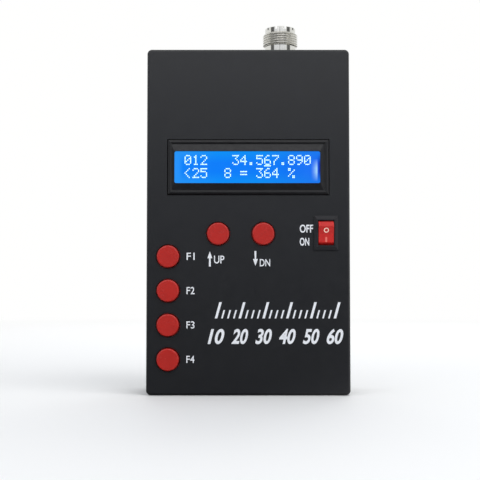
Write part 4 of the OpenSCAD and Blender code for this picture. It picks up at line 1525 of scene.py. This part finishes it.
@dataclass
class Studio:
    """Pale floor, white surroundings, soft lamps and the camera.

    Attributes:
        target: Middle of the part.
        eye: Place of the camera.
        pitch: Upward tilt of the camera in degrees.
        lens: Focal length on a 36 mm wide frame, in millimetres.
        lamps: The soft lights.
    """

    target: Vector
    eye: Point = (-3.6 * MM, -456 * MM, 46.5 * MM)
    pitch: float = 2.7
    lens: float = 75.47
    lamps: tuple[SoftLamp, ...] = field(default_factory=lambda: (
        SoftLamp("key", (0.45, -0.5, 0.8), (0.75, 0.75), 4.5),
        SoftLamp("fill", (-0.6, -0.9, 0.75), (0.8, 0.8), 1.4),
        SoftLamp("front", (0.05, -1.0, 0.57), (0.9, 0.22), 0.8, mirrored=True),
        SoftLamp("back", (0.1, 0.8, 0.7), (0.7, 0.7), 4.0),
    ))

    def camera(self) -> None:
        """Sets a camera in front of the part, upright and tilted up by the pitch."""
        camera = bpy.data.cameras.new("camera")
        camera.lens = self.lens
        camera.sensor_width = 36.0
        camera.clip_start = 0.01
        holder = bpy.data.objects.new("camera", camera)
        holder.location = self.eye
        holder.rotation_euler = (math.radians(90 + self.pitch), 0.0, 0.0)
        bpy.context.scene.collection.objects.link(holder)
        bpy.context.scene.camera = holder

    def background(self, sketch: Sketch, colour: Socket | Colour) -> Socket:
        """Light of one colour from the surroundings.

        Args:
            sketch: Helper for the tree of the surroundings.
            colour: The colour.

        Returns:
            The light.
        """
        node = sketch.nodes.new("ShaderNodeBackground")
        sketch.feed(node.inputs["Color"], colour)
        return node.outputs["Background"]

    def mirrored_room(self, sketch: Sketch, across: Socket, back: Socket, up: Socket) -> Socket:
        """What gloss, metal and glass mirror.

        It is a room as white as the background all round the back, the sides and overhead,
        and reaches further to the front on the right. In front it is a wall, dark at the foot
        and pale higher up. Two dark cards stand beside that wall and a stand in the middle.

        Args:
            sketch: Helper for the tree of the surroundings.
            across: X of the direction.
            back: Y of the direction.
            up: Z of the direction.

        Returns:
            The light.
        """
        wall = sketch.ramp(sketch.between(up, 0.0, 1.0, (-0.2, 0.6)), [
            (0.0, (0.1, 0.1, 0.1)), (0.25, (0.11, 0.115, 0.125)), (0.42, (0.24, 0.28, 0.37)),
            (0.53, (0.92, 0.95, 1.0)), (0.8, (1.0, 1.0, 1.0))])
        right = sketch.math("MAXIMUM", across, 0.0)
        turned = sketch.math("ADD", back, sketch.math("MULTIPLY", right, 0.5))
        behind = sketch.between(turned, 0.0, 1.0, (-0.7, -0.2))
        room = sketch.blended(behind, self.background(sketch, wall),
                              self.background(sketch, (0.98, 1.0, 1.0)))
        low = sketch.peak(up, 0.29, 0.075, 0.125)
        cards = sketch.math("MULTIPLY", sketch.peak(back, -0.43, 0.17, 0.25), 0.9)
        stand = sketch.math("MULTIPLY", sketch.between(across, 0.0, 1.0, (-0.15, -0.11)),
                            sketch.between(across, 1.0, 0.0, (-0.08, -0.04)))
        stand = sketch.math("MULTIPLY", stand, sketch.between(back, 0.6, 0.0, (-0.6, -0.5)))
        dark = sketch.math("MULTIPLY", low, sketch.math("MAXIMUM", cards, stand))
        return sketch.blended(dark, room, self.background(sketch, (0.03, 0.03, 0.03)))

    def surroundings(self) -> None:
        """White for the camera, soft light for matt surfaces, and a room for gloss to mirror."""
        world = bpy.data.worlds.new("surroundings")
        bpy.context.scene.world = world
        world.use_nodes = True
        world.node_tree.nodes.clear()
        sketch = Sketch(world.node_tree)
        place = sketch.nodes.new("ShaderNodeTexCoord")
        across, back, up = sketch.parts(place.outputs["Generated"])
        sky = sketch.ramp(sketch.between(up, 0.0, 1.0, (-1.0, 1.0)), [
            (0.25, (0.2, 0.2, 0.2)), (0.5, (0.3, 0.31, 0.33)), (0.85, (0.66, 0.68, 0.72))])
        shown = sketch.blended(sketch.mirror_rays(), self.background(sketch, sky),
                               self.mirrored_room(sketch, across, back, up))
        path = sketch.nodes.new("ShaderNodeLightPath")
        shown = sketch.blended(path.outputs["Is Camera Ray"], shown, self.background(sketch, BACKDROP))
        out = sketch.nodes.new("ShaderNodeOutputWorld")
        sketch.links.new(shown, out.inputs["Surface"])

    def floor(self) -> None:
        """A pale floor that fades to white with distance, so that it shows no horizon.

        In gloss its front left part shows as the dark foot of the wall, and the rest as it is.
        """
        half, drop = 4.0, 0.2 * MM
        corners = np.array([[-half, -half, -drop], [half, -half, -drop],
                            [half, half, -drop], [-half, half, -drop]])
        ground = mesh_piece("floor", corners, [[0, 1, 2, 3]])
        recipe = Recipe("floor_finish")
        recipe.fix(Base_Color=(0.86, 0.86, 0.85), Roughness=0.7, Specular_IOR_Level=0.2)
        distance = recipe.nodes.new("ShaderNodeVectorMath")
        distance.operation = "LENGTH"
        recipe.links.new(recipe.place, distance.inputs[0])
        far = recipe.between(distance.outputs["Value"], 0.0, 1.0, (0.25, 1.1))
        white, foot = (recipe.nodes.new("ShaderNodeEmission") for _ in range(2))
        recipe.feed(white.inputs["Color"], BACKDROP)
        recipe.feed(foot.inputs["Color"], (0.07, 0.07, 0.07))
        shown = recipe.blended(far, recipe.shader.outputs["BSDF"], white.outputs["Emission"])
        across, along, _ = recipe.parts(recipe.place)
        ahead = recipe.math("ADD", along, recipe.math("MAXIMUM", across, 0.0))
        front = recipe.between(ahead, 1.0, 0.0, (-0.03, 0.05))
        front = recipe.math("MULTIPLY", front, recipe.mirror_rays())
        shown = recipe.blended(front, shown, foot.outputs["Emission"])
        out = next(n for n in recipe.nodes if n.type == "OUTPUT_MATERIAL")
        recipe.links.new(shown, out.inputs["Surface"])
        ground.data.materials.append(recipe.material)
        ground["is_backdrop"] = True

    def build(self) -> None:
        """Sets everything up."""
        self.camera()
        self.surroundings()
        self.floor()
        for lamp in self.lamps:
            lamp.hang(self.target)
        bpy.context.scene.view_settings.view_transform = "Standard"
        LOG.info("studio ready, camera at %s", self.eye)


# ---------------------------------------------------------------- the whole part


def middle_of(node: str) -> Vector:
    """Middle of a frame node's box."""
    low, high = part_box(node)
    return (low + high) / 2


def main() -> None:
    """Dresses the frame, adds the pieces that it leaves out and sets up the studio."""
    text_lift = 0.35 * MM
    pivot_depth = 2 * MM
    rocker_rest = math.radians(10)
    logging.basicConfig(level=logging.INFO, format="%(name)s: %(message)s")
    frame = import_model()
    solid_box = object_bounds()

    display_middle = middle_of("lcd_bezel").z
    book = FinishBook(BacklitFilm(left=-32.2 * MM, right=31.4 * MM, middle=display_middle))
    book.dress_frame(frame)

    Case(book).build(frame)
    column = tuple(middle_of(f"side_button_{number}_cap").z for number in range(1, 5))
    legends = Legends(Ink(screen(232, 235, 240)).paint("legend_ink"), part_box("front_shell")[0].y,
                      middle_of("up_button_cap").z, column)
    legends.build()
    dots = Ink(screen(198, 234, 255), glow=0.82).paint("lit_dots")
    Display(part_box("lcd_glass")[0].y, display_middle + text_lift, dots).build()
    housing = middle_of("rocker_housing")
    pivot = Vector((housing.x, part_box("front_shell")[0].y + pivot_depth, housing.z))
    RockerMarks(pivot, rocker_rest, Ink(screen(255, 215, 196)).paint("rocker_ring"),
                Ink(screen(228, 110, 98)).paint("rocker_bar")).build()
    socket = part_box("antenna_socket_shell")
    case_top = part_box("front_shell")[1].z
    AntennaSocket(book, (socket[0].x + socket[1].x) / 2, case_top).build(frame)

    low, high = solid_box
    Studio((low + high) / 2).build()


if __name__ == "__main__":
    main()
